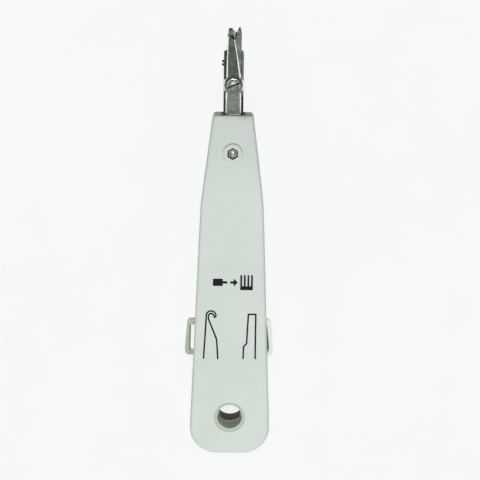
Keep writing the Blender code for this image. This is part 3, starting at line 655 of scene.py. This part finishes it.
# The moving blade's nickel: its darker tone towards the tip and its lighter tail side of the pivot are
# painted reflection on one flat plate, and it is near black with painted shade where it enters the neck.
BLADE = metal("blade_nickel", (0.235, 0.285, 0.245), (0.18, 0.22, 0.19), (0.22, 0.28), stained=True,
              black_below_y=(53.0, 54.5), painted_tail_tone=(0.50, 0.59, 0.51))
# Painted highlight: a brighter copy of the nickel for the arm's sideways bevels and the pivot screw's rim.
BEVEL_HIGHLIGHT = metal("bevel_painted_highlight", (0.74, 0.76, 0.71), (0.62, 0.64, 0.58), (0.26, 0.32), 2000)
SATIN = metal("satin_nickel", (0.62, 0.66, 0.57), (0.36, 0.42, 0.37), (0.40, 0.55))
CROWN = metal("screw_crown", (0.35, 0.38, 0.33), (0.22, 0.25, 0.22), (0.42, 0.58), pitted=0.06)
# The channel's nickel is near black on the tail side of its boss and has painted shade along its left side.
CHANNEL_NICKEL = metal("channel_nickel", (0.36, 0.40, 0.35), (0.27, 0.30, 0.26), (0.25, 0.32),
                black_below_y=(59.5, 61.2), shaded=True)
# Painted shade: near black where shade falls in recesses, slots, pockets and gaps.
RECESS_SHADE = recess_shade_paint()
# The washer is dark steel, near black with painted shade on the head side of the pivot and lighter on its
# tail side.
WASHER_SHADED = metal("washer_steel_shaded", (0.11, 0.11, 0.095), (0.06, 0.06, 0.05), (0.35, 0.5),
                painted_tail_tone=(0.34, 0.37, 0.32))
OXIDE = metal("black_oxide", (0.035, 0.040, 0.034), (0.020, 0.023, 0.020), (0.40, 0.55))
DARK = metal("dark_steel", (0.30, 0.29, 0.24), (0.18, 0.18, 0.15), (0.32, 0.48), 1200)
FORK = metal("fork_steel", (0.46, 0.45, 0.38), (0.30, 0.30, 0.25), (0.32, 0.48), 1200)
SPRING = metal("spring_steel", (0.60, 0.60, 0.57), (0.45, 0.45, 0.43), (0.22, 0.34), 2400)
INK = ink()


# ---------- handle
def shell_level(points, height_of, side):
    """A ring of the handle at one height above the parting plane, on one side of it."""
    right = [(x, y, MID_Z + side * height_of(y)) for x, y in points]
    left = [(-x, y, z) for x, y, z in reversed(right)]
    return right + left


def shell_body(inset, thin, edge_r, foot, side, steps, foot_round=0.0):
    """Half of the handle, with its outline moved in by inset and its face lowered by thin."""
    rings = []
    if foot_round:
        rings.append(shell_level(handle_side(inset + foot_round), lambda y: foot, side))
    rings.append(shell_level(handle_side(inset), lambda y: foot + foot_round, side))
    for k in range(steps + 1):
        phi = math.pi / 2 * k / steps
        level = handle_side(inset + edge_r * (1 - math.cos(phi)))
        drop = thin + edge_r * (1 - math.sin(phi))
        rings.append(shell_level(level, lambda y, d=drop: half_thick(y) - d, side))
    bm = stitch(rings, capped=False)
    bm.verts.ensure_lookup_table()
    count = len(rings[0])
    for start, up in ((0, False), (len(rings) - 1, True)):
        ring = [bm.verts[start * count + i] for i in range(count)]
        for i in range(count // 2 - 1):
            quad = (ring[i], ring[i + 1], ring[count - 2 - i], ring[count - 1 - i])
            bm.faces.new(quad if up else tuple(reversed(quad)))
    if side < 0:
        bmesh.ops.reverse_faces(bm, faces=bm.faces)
    return bm


def upright(x0, x1, y0, y1, z_near, side):
    """A rib inside a shell, from a height near the parting plane into the face wall, which may slope."""
    outline = [(x0, y0), (x1, y0), (x1, y1), (x0, y1)]
    top = [(x, y, MID_Z + side * (half_thick(y) - WALL / 2)) for x, y in outline]
    bm = stitch([[(x, y, z_near) for x, y in outline], top])
    if side < 0:
        bmesh.ops.reverse_faces(bm, faces=bm.faces)
    return bm


def post(x, y, r, near, far):
    return moved(turned([(r, min(near, far)), (r, max(near, far))], SMALL_ROUND), x, y)


SPRING_STOP_Y = -30.3


def shell_ribs(side):
    """The walls, rails and bosses inside one shell."""
    near = MID_Z + side * SEAM_GAP / 2
    roof = MID_Z + side * (GRIP_HALF_THICK - WALL / 2)
    clamp_roof = MID_Z + side * (half_thick(CLAMP[1]) - WALL / 2)
    if side > 0:
        rail_z, rail_reach, rail_end = 12.6, 3.35, 33.0
        spring_stop_z, screw_boss_r, clamp_boss_r, clamp_boss_z = 12.3, 2.6, 2.4, 15.6
    else:
        rail_z, rail_reach, rail_end = 5.7, 2.2, 51.0
        spring_stop_z, screw_boss_r, clamp_boss_r, clamp_boss_z = 7.7, 3.2, 3.4, 5.3
    ribs = [upright(-5.0, 5.0, SPRING_STOP_Y, SPRING_STOP_Y + 3.0, spring_stop_z, side)]
    for sx in (-1, 1):
        wall = sorted((sx * 4.3, sx * 5.7))
        rail = sorted((sx * rail_reach, sx * 4.9))
        for y0, y1 in ((SPRING_STOP_Y, 8.0), (7.9, 20.0), (19.9, 51.0)):
            ribs.append(upright(*wall, y0, y1, near, side))
        for y0, y1 in ((4.0, 8.1), (8.0, 20.1), (20.0, rail_end)):
            ribs.append(upright(*rail, y0, y1, rail_z, side))
        ribs.append(post(sx * FOLD_PIVOT[0], FOLD_PIVOT[1], 3.0, MID_Z + side * 1.8, roof))
    ribs += [post(*REAR_SCREW, screw_boss_r, near, roof), post(*EYE, EYE_R + EYE_WALL, near, roof),
             post(*CLAMP, clamp_boss_r, clamp_boss_z, clamp_roof)]
    if side > 0:
        ribs.append(upright(-4.6, 4.6, 40.9, 50.8, 15.6, side))
    return ribs


def shell_openings(side):
    """The hanging hole, the neck opening, the side slots and the pin sockets.

    The hole is flared in the front shell, and narrower and slightly oval in the back one.
    """
    if side > 0:
        top = 2 * GRIP_HALF_THICK
        flare = (EYE_MOUTH_R - EYE_R) / EYE_CHAMFER
        bore = turned([(EYE_R, MID_Z - 1.0), (EYE_R, top - EYE_CHAMFER), (EYE_MOUTH_R + flare, top + 1.0)])
        socket = (11.0, 17.1)
    else:
        bore = turned([(EYE_BACK_R + 1.0 + EYE_BACK_CHAMFER, -1.0), (EYE_BACK_R, EYE_BACK_CHAMFER),
                       (EYE_BACK_R, MID_Z + 1.0)])
        bmesh.ops.scale(bore, verts=bore.verts, vec=(EYE_BACK_HALF_WIDTH / EYE_BACK_R, 1, 1))
        socket = (2.9, 9.0)
    cuts = [moved(bore, *EYE), block(-4.6, 4.6, 50.0, 60.0, 5.5, 15.1)]
    for sx in (-1, 1):
        cuts.append(block(*sorted((sx * 11.5, sx * 20.0)), *SLOT_Y, *SLOT_Z))
        cuts.append(post(sx * FOLD_PIVOT[0], FOLD_PIVOT[1], 1.35, *socket))
    return cuts


def hexagon(across_flats, x, y):
    r = across_flats / math.sqrt(3)
    turns = [math.radians(a) for a in range(30, 390, 60)]
    return [(x + r * math.cos(a), y + r * math.sin(a)) for a in turns]


def shell_blank(name, side):
    made = raw_object(name, shell_body(0, 0, EDGE_R, SEAM_GAP / 2, side, 10, SEAM_ROUND), SHELL)
    boolean(made, "DIFFERENCE", [shell_body(WALL, WALL, 0.6, -1.0, side, 2)])
    return made


def front_cover():
    made = shell_blank("front_cover", 1)
    pad_edge = arc(PAD_R - PAD_EDGE_R, PAD_Z - PAD_EDGE_R, PAD_EDGE_R, 0, 90, 15)
    pad = moved(turned([(PAD_R + 0.05, 17.4)] + pad_edge), *CLAMP)
    boolean(made, "UNION", [pad] + shell_ribs(1))
    # The nut's pocket gets painted shade on its walls and bottom.
    boolean(made, "DIFFERENCE", [prism(hexagon(NUT_POCKET_WIDTH, *CLAMP), 16.2, PAD_Z + 1)], RECESS_SHADE)
    bores = [post(*CLAMP, 1.2, 12.0, 17.0), post(*REAR_SCREW, 1.3, 8.0, 16.8)]
    boolean(made, "DIFFERENCE", bores + shell_openings(1))
    finish_piece(made, "handle", "shell_plastic", "front_shell", sharp=32)


def back_cover():
    made = shell_blank("back_cover", -1)
    boolean(made, "UNION", shell_ribs(-1))
    heads = [post(*CLAMP, 2.2, -1.0, 3.6), post(*REAR_SCREW, 2.6, -1.0, 2.6)]
    bores = [post(*CLAMP, 1.2, 2.0, 8.0), post(*REAR_SCREW, 1.35, 1.0, 12.0)]
    boolean(made, "DIFFERENCE", heads + bores + shell_openings(-1))
    finish_piece(made, "handle", "shell_plastic", "back_shell", sharp=32)


def cross_cutters(size, depth, x, y, z):
    """A tapering crosshead recess in the underside of a screw head."""
    arm = size * 0.2
    cutters = []
    for turn in (0, 90):
        rings = []
        for reach, height in ((size * 1.05, z - 0.05), (size * 0.35, z + depth)):
            corners = [(-reach, -arm), (reach, -arm), (reach, arm), (-reach, arm)]
            rings.append([(px, py, height) for px, py in corners])
        cutters.append(moved(turned_to(stitch(rings), "Z", turn), x, y))
    return cutters


THREAD_DEPTH = 0.12


def threaded(r, pitch, z0, z1):
    """A turned profile with the crests and roots of a thread."""
    profile = []
    count = int((z1 - z0) / pitch)
    for i in range(count):
        z = z0 + i * pitch
        profile += [(r - THREAD_DEPTH, z), (r, z + pitch * 0.5)]
    return profile + [(r - THREAD_DEPTH, z0 + count * pitch)]


NUT_BOTTOM_Z = 16.4
NUT_EDGE_Z = 17.7
NUT_TOP_Z = 18.2
NUT_TOP_WIDTH = NUT_WIDTH - 0.56


def fasteners():
    """Both machine screws with their recesses, and the nut with a chipped top; the recesses, the nut's flanks
    and the chip are near black with painted shade.
    """
    screw = [(1.4, 1.75), (1.6, 1.85), (1.9, 2.15), (1.9, 3.4), (0.95, 3.4), (0.95, 15.9)]
    screw += threaded(1.02, 0.4, 16.0, 18.0) + [(0.95, 18.1), (0.7, 18.2), (0.3, 18.24)]
    made = raw_object("clamp_screw_body", moved(turned(screw, SMALL_ROUND), *CLAMP), SATIN)
    boolean(made, "DIFFERENCE", cross_cutters(1.0, 0.7, *CLAMP, 1.75), RECESS_SHADE)
    finish_piece(made, "handle", "nickel_plate", "clamp_screw")

    levels = ((NUT_WIDTH, NUT_BOTTOM_Z), (NUT_WIDTH, NUT_EDGE_Z), (NUT_TOP_WIDTH, NUT_TOP_Z))
    rings = [[(x, y, z) for x, y in hexagon(width, *CLAMP)] for width, z in levels]
    nut = raw_object("clamp_nut_body", stitch(rings), SATIN)
    nut.data.materials.append(RECESS_SHADE)
    # The nut's flanks get the painted shade; its top and bottom keep the satin nickel.
    for face in nut.data.polygons:
        face.material_index = int(abs(face.normal.z) < 0.9)
    bore = [(1.12, 15.0), (1.12, 18.05), (1.25, 18.25)]
    boolean(nut, "DIFFERENCE", [moved(turned(bore, SMALL_ROUND), *CLAMP)])
    chip = [(0.62, 0.28), (1.15, 0.30), (1.42, 0.62), (1.10, 0.92), (0.72, 0.78)]
    boolean(nut, "DIFFERENCE", [moved(prism(chip, NUT_TOP_Z - 0.6, NUT_TOP_Z + 0.3), *CLAMP)], RECESS_SHADE)
    finish_piece(nut, "handle", "nickel_plate", "clamp_nut")

    dome = [(1.5, 0.5), (1.95, 0.62), (2.25, 0.85), (2.35, 1.15), (2.35, 2.3), (1.0, 2.3)]
    shank = threaded(1.15, 1.0, 2.4, 14.4) + [(0.9, 15.2), (0.35, 16.4)]
    made = raw_object("rear_screw_body", moved(turned(dome + shank, SMALL_ROUND), *REAR_SCREW), NICKEL)
    boolean(made, "DIFFERENCE", cross_cutters(1.3, 0.9, *REAR_SCREW, 0.5), RECESS_SHADE)
    finish_piece(made, "handle", "nickel_plate", "rear_screw")


MAIN_SPRING_Z = MID_Z - 0.3
SENSOR_SPRING_Z = 7.8


def springs():
    """Both coil springs, built at one length; on the tool they shorten as their slides move in."""
    main = coil(2.9, 0.4, -24.9, 5.1, turns=10, steps=48, sides=12)
    main = moved(main, z=MAIN_SPRING_Z)
    main = finish_piece(raw_object("main_coil", main, SPRING), "handle", "spring_steel", "main_spring")
    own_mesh(main)
    small = coil(0.6, 0.14, 71.2, 75.7, turns=7, steps=32, sides=10)
    small = moved(small, SENSOR_X, 0, SENSOR_SPRING_Z)
    small = finish_piece(raw_object("sensor_coil", small, SPRING), "head", "spring_steel", "sensor_spring")
    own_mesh(small)


# ---------- printed signs
PRINT_Z = (19.99, 20.03)
LINE = 0.66


def printed(name, outlines):
    """Ink on the front face, one solid for each outline."""
    merged = bmesh.new()
    for outline in outlines:
        shape = bpy.data.meshes.new("shape")
        part = prism(outline, *PRINT_Z)
        part.to_mesh(shape)
        part.free()
        merged.from_mesh(shape)
        bpy.data.meshes.remove(shape)
    finish_piece(raw_object(name, merged, INK), "handle", "ink", sharp=20)


def hook_sign():
    """The wire hook, drawn over the side that it folds out of."""
    path = [(-10.96, -46.97), (-9.98, -29.6)]
    path += arc(-8.0, -28.8, 1.95, 178, -6, 10)
    path += [(-6.55, -29.5)]
    path += arc(-8.0, -29.0, 1.05, 10, 178, 14)
    path += [(-9.05, -30.3), (-5.85, -38.3), (-5.6, -40.0), (-5.1, -47.1)]
    printed("hook_sign", [ribbon(path, LINE)])


def blade_sign():
    """The release blade, drawn over the side that it folds out of."""
    path = [(10.2, -46.95), (10.2, -28.1), (7.2, -28.1), (6.6, -40.35), (5.4, -41.7), (5.25, -46.95)]
    printed("blade_sign", [ribbon(path, LINE)])


def use_sign():
    """An insulated wire, an arrow and a comb of contacts: what the tool does, in three solid shapes."""
    low, high = -18.0, -11.8
    mid = (low + high) / 2
    wire = [(-7.4, mid - 1.5), (-3.4, mid - 1.5), (-3.4, mid - 0.5), (-1.5, mid - 0.5),
            (-1.5, mid + 0.5), (-3.4, mid + 0.5), (-3.4, mid + 1.5), (-7.4, mid + 1.5)]
    arrow = [(-0.4, mid - 0.45), (1.0, mid - 0.45), (1.0, mid - 1.6), (2.7, mid),
             (1.0, mid + 1.6), (1.0, mid + 0.45), (-0.4, mid + 0.45)]
    tooth, pitch, root = 0.75, 1.45, low + 1.6
    teeth = [3.7 + pitch * i for i in range(4)]
    comb = [(teeth[0], low), (teeth[-1] + tooth, low)]
    for x in reversed(teeth):
        comb += [(x + tooth, high), (x, high)]
        if x > teeth[0]:
            comb += [(x, root), (x - pitch + tooth, root)]
    printed("use_sign", [wire, arrow, comb])


# ---------- head
SHEET = 0.8
CHANNEL_HALF = 4.0
JAW_Z = (11.1, 12.5)
ARM_Z = (12.7, 14.2)
ARM_BEVEL = (0.19, 0.37)    # depth and width
BOSS_BEVEL_WIDTH = 0.72
BOSS_BEVEL_DROP = 0.18
TIP_Z = 13.3
STUFFER_Z = (8.8, 10.85)


def channel():
    """The folded channel, with rounded outer bends and broken sheet edges."""
    low, high, bend, crease, edge = 6.0, 12.3, 0.9, 0.15, 0.12
    inner = CHANNEL_HALF - SHEET
    right = arc(CHANNEL_HALF - bend, low + bend, bend, -90, 0, 15)
    right += arc(CHANNEL_HALF - edge, high - edge, edge, 0, 90, 45)
    right += arc(inner + edge, high - edge, edge, 90, 180, 45)
    right += arc(inner - crease, low + SHEET + crease, crease, 0, -90, 45)
    section = right + [(-x, z) for x, z in reversed(right)]
    sheet = stitch([[(x, y, z) for x, z in reversed(section)] for y in (6.0, 84.5)])
    made = raw_object("channel_body", sheet, CHANNEL_NICKEL)
    cuts = []
    for sx in (-1, 1):
        corner = [(sx * 2.65, 78.3), (sx * 5.0, 77.3), (sx * 5.0, 90.0), (sx * 2.65, 90.0)]
        cuts.append(prism(corner if sx > 0 else list(reversed(corner)), 5.0, 14.0))
    slot = arc(CLAMP[0], CLAMP[1], 1.8, 180, 360) + arc(CLAMP[0], CLAMP[1] + 6.0, 1.8, 0, 180)
    cross_bore = turned_to(turned([(0.95, -6.0), (0.95, 6.0)], SMALL_ROUND), "Y", 90)
    cuts += [prism(slot, 5.0, 8.0), post(*PIVOT, 1.7, 5.0, 8.0), post(*FORK_RIVET, 0.85, 5.0, 8.0),
             moved(cross_bore, *TAIL_PIN, MID_Z - 0.4), block(-5.0, -3.0, 71.2, 76.5, 8.1, 10.3)]
    boolean(made, "DIFFERENCE", cuts)
    finish_piece(made, "head", "nickel_plate", "head_channel", bevel=0.06)


def jaw():
    outline = filleted([
        (-3.05, 58.8, 0.3), (3.05, 58.8, 0.3), (3.05, 85.4, 0.8), (2.35, 87.9, 0.25), (1.75, 86.8, 0),
        (1.35, 86.0, 0.3), (1.1, 84.3, 0.6), (0.3, 82.3, 0), (-0.9, 79.0, 0), (-2.45, 76.8, 0.6),
        (-2.45, 62.0, 0.3), (-3.05, 61.0, 0.3)])
    made = raw_object("fixed_blade", plate(outline, *JAW_Z, 0.12, 0.2), NICKEL)
    boolean(made, "DIFFERENCE", [post(*PIVOT, 1.7, 10.0, 14.0)])
    finish_piece(made, "head", "nickel_plate", "fixed_jaw")


def arm_outline():
    """The moving blade's outline: tail, round boss, and blade up to the diagonal step."""
    low_end = -math.degrees(math.acos(3.1 / BOSS_R))
    high_end = math.degrees(math.acos(2.95 / BOSS_R))
    right = arc(*PIVOT, BOSS_R, low_end, high_end)
    left = arc(*PIVOT, BOSS_R, 180 - high_end, 180 - low_end)
    tail = [(-3.1, 53.0), (-2.1, 50.5), (-2.1, 47.3), (-1.6, 46.8), (1.6, 46.8), (2.1, 47.3), (2.1, 50.5),
            (3.1, 53.0)]
    blade = [(1.5, 76.0), (0.78, 80.3), (0.35, 82.4), (-0.3, 82.95), (-0.9, 83.45), (-1.5, 83.9),
             (-2.5, 84.0), (-2.6, 80.3), (-2.75, 76.0)]
    return tail + right + blade + left


def widen_boss_bevel(made):
    """The upper bevel round the arm's boss is wider and deeper than along its straight edges."""
    depth, width = ARM_BEVEL
    for vertex in made.data.vertices:
        out = vertex.co.xy / MM - Vector(PIVOT)
        height = vertex.co.z / MM
        if height > ARM_Z[1] - 0.01 and abs(out.length - BOSS_R + width) < 0.06:
            vertex.co.xy = (Vector(PIVOT) + out * (BOSS_R - BOSS_BEVEL_WIDTH) / out.length) * MM
        elif height > ARM_Z[1] - depth - 0.01 and abs(out.length - BOSS_R) < 0.02:
            vertex.co.z -= BOSS_BEVEL_DROP * MM


def arm():
    made = raw_object("moving_blade", plate(arm_outline(), *ARM_Z, *ARM_BEVEL), BLADE)
    widen_boss_bevel(made)
    made.data.materials.append(BEVEL_HIGHLIGHT)
    # Bevels that face the sides get the painted highlight.
    for face in made.data.polygons:
        across = abs(face.normal.x) > 1.1 * abs(face.normal.y)
        face.material_index = int(across and 0.2 < face.normal.z < 0.97)
    tip = filleted([(-2.4, 82.5, 0), (0.3, 82.5, 0), (-0.35, 84.6, 0.5), (-0.45, 86.2, 0.5),
                    (-0.95, 86.9, 0.3), (-2.2, 86.9, 0.4)])
    boolean(made, "UNION", [plate(tip, ARM_Z[0], TIP_Z, 0.12)])
    boolean(made, "DIFFERENCE", [post(*PIVOT, 1.65, 12.0, 15.0), post(*FOLLOWER, 0.85, 12.0, 15.0)])
    groove = [(-1.5, 84.35), (-1.3, 83.9), (-0.85, 83.45), (-0.25, 82.9), (0.38, 82.35), (0.66, 82.65),
              (0.2, 83.35), (-0.5, 84.25)]
    # Painted shade: a near-black groove along the diagonal step stands for its shadow.
    boolean(made, "DIFFERENCE", [prism(groove, TIP_Z - 0.4, 16.0)], RECESS_SHADE)
    finish_piece(made, "scissor", "nickel_plate", "scissor_arm", sharp=20)


def fork():
    outline = filleted([
        (-2.15, 67.3, 0.2), (2.75, 67.3, 0.2), (2.75, 86.6, 0.4), (1.75, 86.6, 0.2), (1.7, 86.0, 0),
        (1.35, 86.0, 0), (1.35, 79.2, 0.1), (0.45, 79.2, 0.1), (0.45, 86.0, 0), (-0.4, 86.0, 0),
        (-0.6, 86.9, 0.25), (-2.15, 86.9, 0.35)])
    made = raw_object("fork_body", plate(outline, *STUFFER_Z, 0.1), FORK)
    boolean(made, "UNION", [block(-2.15, 2.75, 67.3, 70.9, 6.95, STUFFER_Z[1] - 0.5)])
    boolean(made, "DIFFERENCE", [post(*FORK_RIVET, 0.85, 5.0, 12.0)])
    finish_piece(made, "head", "dark_steel", "wire_stuffer")


def pivot():
    """The pivot screw, its slotted crown inside a rolled rim, with its washer and rear nut."""
    rim = [(2.72, 14.75), (2.9, 14.85), (2.95, 15.1), (2.86, 15.32), (2.62, 15.5), (2.42, 15.52),
           (2.25, 15.42), (2.15, 15.3), (2.06, 15.3)]
    turns = [math.radians(a) for a in range(0, 88, 8)]
    crown = [(2.0 * math.cos(a), 15.36 + 0.46 * math.sin(a)) for a in turns]
    screw = [(1.3, 3.9), (1.5, 4.1), (1.5, 14.75)] + rim + crown
    made = raw_object("pivot_screw_body", moved(turned(screw), *PIVOT), CROWN)
    made.data.materials.append(BEVEL_HIGHLIGHT)
    # The rim's upper faces get the painted highlight.
    for face in made.data.polygons:
        reach = (face.center - Vector((*PIVOT, 0)) * MM).xy.length / MM
        face.material_index = int(2.3 < reach < 2.85 and face.normal.z > 0.3)
    slot = turned_to(block(-4, 4, -0.28, 0.28, 15.0, 17.0), "Z", 24)
    # The screw's slot gets the painted shade.
    boolean(made, "DIFFERENCE", [moved(slot, *PIVOT)], RECESS_SHADE)
    finish_piece(made, "head", "nickel_plate", "pivot_screw", sharp=30)

    section = [(1.65, 14.36), (3.3, 14.36), (3.38, 14.42), (3.38, 14.55), (3.32, 14.61), (1.65, 14.61)]
    washer = raw_object("pivot_washer_body", moved(lathe_ring(section), PIVOT[0], PIVOT[1] + 0.15), WASHER_SHADED)
    finish_piece(washer, "head", "dark_steel", "pivot_washer")

    nut = raw_object("pivot_nut_body", prism(hexagon(5.0, *PIVOT), 4.2, 5.8), NICKEL)
    boolean(nut, "INTERSECT", [moved(turned([(2.35, 4.15), (2.9, 4.6), (2.9, 6.0)]), *PIVOT)])
    boolean(nut, "DIFFERENCE", [post(*PIVOT, 1.65, 3.0, 7.0)])
    finish_piece(nut, "head", "nickel_plate", "pivot_nut")


def sensor():
    """The sensor's own model shape with its edges broken."""
    made = bpy.data.objects.new("sensor_body", frame["nodes"]["sensor_slide"].data.copy())
    bpy.context.scene.collection.objects.link(made)
    made.data.materials.clear()
    made.data.materials.append(OXIDE)
    bm = bmesh.new()
    bm.from_mesh(made.data)
    bmesh.ops.remove_doubles(bm, verts=bm.verts, dist=1e-7)
    bmesh.ops.dissolve_limit(bm, angle_limit=math.radians(1), verts=bm.verts, edges=bm.edges)
    bm.to_mesh(made.data)
    bm.free()
    finish_piece(made, "sensor", "dark_steel", "sensor_slide", bevel=0.06)


def lock():
    """The lock slide with its two rounded thumb ridges."""
    made = raw_object("lock_body", block(-3.05, -2.4, 69.9, 75.6, 7.5, 10.6), OXIDE)
    ridges = [moved(turned([(0.35, 8.45), (0.5, 8.6), (0.5, 9.8), (0.35, 9.95)], SMALL_ROUND), -4.3, y)
              for y in (72.4, 73.75)]
    boolean(made, "UNION", [block(-4.05, -2.8, 71.5, 74.7, 8.4, 10.0)] + ridges)
    finish_piece(made, "lock", "dark_steel", "lock_slide", bevel=0.06)


# ---------- fold-out tools
TAB_Z = (8.5, 11.5)
STEEL_Z = (9.5, 10.5)
SLIM_GAP = 0.15
RIVET = (11.1, -46.5)


def rounded_plate(outline, z0, z1, radius):
    """A flat part whose upper and lower edges are both rounded over."""
    steps = 5
    turns = [math.pi / 2 * k / steps for k in range(steps + 1)]
    up = [(radius * (1 - math.cos(a)), z1 - radius * (1 - math.sin(a))) for a in turns]
    down = [(inset, z0 + z1 - z) for inset, z in reversed(up)]
    return layered(outline, down + up)


def window_cutter(window, lean):
    """A finger window that leans in by this much towards the back."""
    back = [(x - math.copysign(lean, x), y) for x, y in window]
    return stitch([[(x, y, TAB_Z[0] - 0.5) for x, y in back], [(x, y, TAB_Z[1] + 0.5) for x, y in window]])


def carrier(name, node, owner, sx, out, window, lean, finish, wall, slot_name):
    """A plastic carrier with its hub on the pivot pin and a round-edged finger loop out of the side slot."""
    hub = arc(*FOLD_PIVOT, 3.0, 180, 360)
    outer = filleted([(14.0, -59.0, 0), (13.6, -49.5, 0.8), (14.4, -47.6, 0.6), (15.6 + out, -47.9, 1.0),
                      (17.5 + out, -47.3, 1.2), (17.68 + out, -44.5, 1.0), (16.75 + out, -33.8, 1.0),
                      (16.3 + out, -32.3, 1.0), (8.9, -32.3, 1.0), (8.6, -50.0, 0.5), (8.0, -59.0, 0)])
    outline = hub + outer[1:-1]
    if sx < 0:
        outline, window = mirrored(outline), mirrored(window)
    made = raw_object(name, rounded_plate(outline, *TAB_Z, 0.9), finish)
    pocket_z = (STEEL_Z[0] - SLIM_GAP, STEEL_Z[1] + SLIM_GAP)
    cuts = [block(*sorted((sx * 9.6, sx * 12.6)), -49.7, -30.0, *pocket_z)]
    for (x, y), r in ((FOLD_PIVOT, 1.4), (RIVET, 0.95)):
        cuts.append(post(sx * x, y, r, 7.0, 13.0))
    # The window's walls take the painted-shade tone.
    boolean(made, "DIFFERENCE", [window_cutter(window, lean)], wall)
    boolean(made, "DIFFERENCE", cuts)
    finish_piece(made, owner, slot_name, node, bevel=0.12)


def hook_carrier():
    window = filleted([(14.0, -45.9, 0.4), (17.4, -45.9, 0.6), (17.2, -34.8, 0.6), (14.0, -34.8, 0.4)])
    carrier("hook_carrier", "hook_tab", "hook", -1, 1.3, window, 0.8, KHAKI, HOOK_WINDOW_SHADE, "tab_khaki")


def blade_carrier():
    window = filleted([(14.0, -46.1, 0.4), (15.8, -46.1, 0.4), (16.25, -44.2, 0.6), (15.25, -35.2, 0.4),
                       (14.0, -35.0, 0.4)])
    carrier("blade_carrier", "blade_tab", "blade", 1, 0.0, window, 1.5, CREAM, BLADE_WINDOW_SHADE, "tab_cream")


def hook():
    root = [(-12.4, -49.5), (-9.8, -49.5), (-9.8, -31.6), (-8.9, -29.0), (-8.9, -21.0)]
    crook = arc(-9.75, -12.9, 1.1, 195, 35)
    back = arc(-9.75, -12.9, 2.4, 25, 180)
    outline = root + crook + [(-8.15, -13.3), (-7.25, -12.7)] + back + [(-12.4, -31.0)]
    made = raw_object("hook_steel", plate(outline, *STEEL_Z, 0.12), NICKEL)
    boolean(made, "DIFFERENCE", [post(-RIVET[0], RIVET[1], 0.95, 7.0, 13.0)])
    finish_piece(made, "hook", "nickel_plate", "wire_hook")


def blade():
    outline = filleted([
        (9.8, -49.5, 0.2), (12.4, -49.5, 0.2), (12.4, -10.0, 0.25), (9.5, -10.0, 0.25), (8.8, -23.5, 0.4),
        (7.9, -24.6, 0.4), (7.8, -30.6, 0.4), (9.8, -32.0, 0.2)])
    made = raw_object("blade_steel", plate(outline, *STEEL_Z, 0.12), NICKEL)
    boolean(made, "DIFFERENCE", [post(*RIVET, 0.95, 7.0, 13.0)])
    finish_piece(made, "blade", "nickel_plate", "release_blade")


# ---------- carried-over nodes
KEPT = (
    (DARK, ("stop_bush", "spring_seat", "scissor_cam", "pivot_spacer", "tail_plug")),
    (SPRING, ("hook_pivot_pin", "blade_pivot_pin", "tail_pin", "guide_rod", "fork_rivet", "cam_follower",
              "hook_rivet", "blade_rivet")),
)


def carried_over():
    """Inner pieces whose model shape is right get their finished material."""
    for finish, names in KEPT:
        for name in names:
            mesh = frame["nodes"][name].data
            mesh.materials.clear()
            mesh.materials.append(finish)


# ---------- studio
CAMERA_TILT = math.radians(10.5)
CAMERA_ROLL = math.radians(0.75)
CAMERA_DISTANCE = 565.0
CAMERA_TARGET = Vector((3.37, 2.68, 20.0))
CAMERA_LENS = 105.0
FLOOR_HALF = 3000.0
FLOOR_GAP = 0.2


def camera():
    """Nearly overhead, leaning towards the working end, with a long lens."""
    back = Vector((0, math.sin(CAMERA_TILT), math.cos(CAMERA_TILT)))
    level = Vector((1, 0, 0))
    upright_axis = back.cross(level)
    right = math.cos(CAMERA_ROLL) * level + math.sin(CAMERA_ROLL) * upright_axis
    up = math.cos(CAMERA_ROLL) * upright_axis - math.sin(CAMERA_ROLL) * level
    data = bpy.data.cameras.new("camera")
    data.lens = CAMERA_LENS
    data.sensor_width = 36.0
    data.clip_start = 0.01
    made = bpy.data.objects.new("camera", data)
    bpy.context.scene.collection.objects.link(made)
    placed = Matrix((right, up, back)).transposed().to_4x4()
    placed.translation = (CAMERA_TARGET + CAMERA_DISTANCE * back) * MM
    made.matrix_world = placed
    bpy.context.scene.camera = made


def softbox(name, place, size, power):
    """A white area light in metres and watts, facing the tool."""
    data = bpy.data.lights.new(name, "AREA")
    data.shape = "RECTANGLE"
    data.size, data.size_y = size
    data.energy = power
    made = bpy.data.objects.new(name, data)
    bpy.context.scene.collection.objects.link(made)
    made.location = place
    made.rotation_euler = (-Vector(place)).to_track_quat("-Z", "Y").to_euler()


def studio():
    bm = bmesh.new()
    bmesh.ops.create_grid(bm, x_segments=4, y_segments=4, size=FLOOR_HALF)
    floor = raw_object("studio_floor", bm, floor_paint())
    floor.location.z = -FLOOR_GAP * MM
    softbox("top", (0.0, 0.88, 2.35), (0.45, 0.35), 30.0)
    softbox("key", (0.0, -1.6, 1.9), (1.6, 1.0), 20.0)
    softbox("left_strip", (-2.0, 0.0, 1.3), (2.4, 0.6), 8.5)
    softbox("right_strip", (2.0, 0.0, 1.3), (2.4, 0.6), 8.5)
    world = bpy.data.worlds.new("studio")
    bpy.context.scene.world = world
    world.use_nodes = True
    sky = world.node_tree.nodes["Background"]
    sky.inputs["Color"].default_value = (0.97, 1.0, 0.98, 1.0)
    sky.inputs["Strength"].default_value = 0.15
    bpy.context.scene.view_settings.view_transform = "Standard"


camera()
studio()
front_cover()
back_cover()
fasteners()
springs()
hook_sign()
blade_sign()
use_sign()
channel()
jaw()
arm()
fork()
pivot()
sensor()
lock()
hook_carrier()
blade_carrier()
hook()
blade()
carried_over()
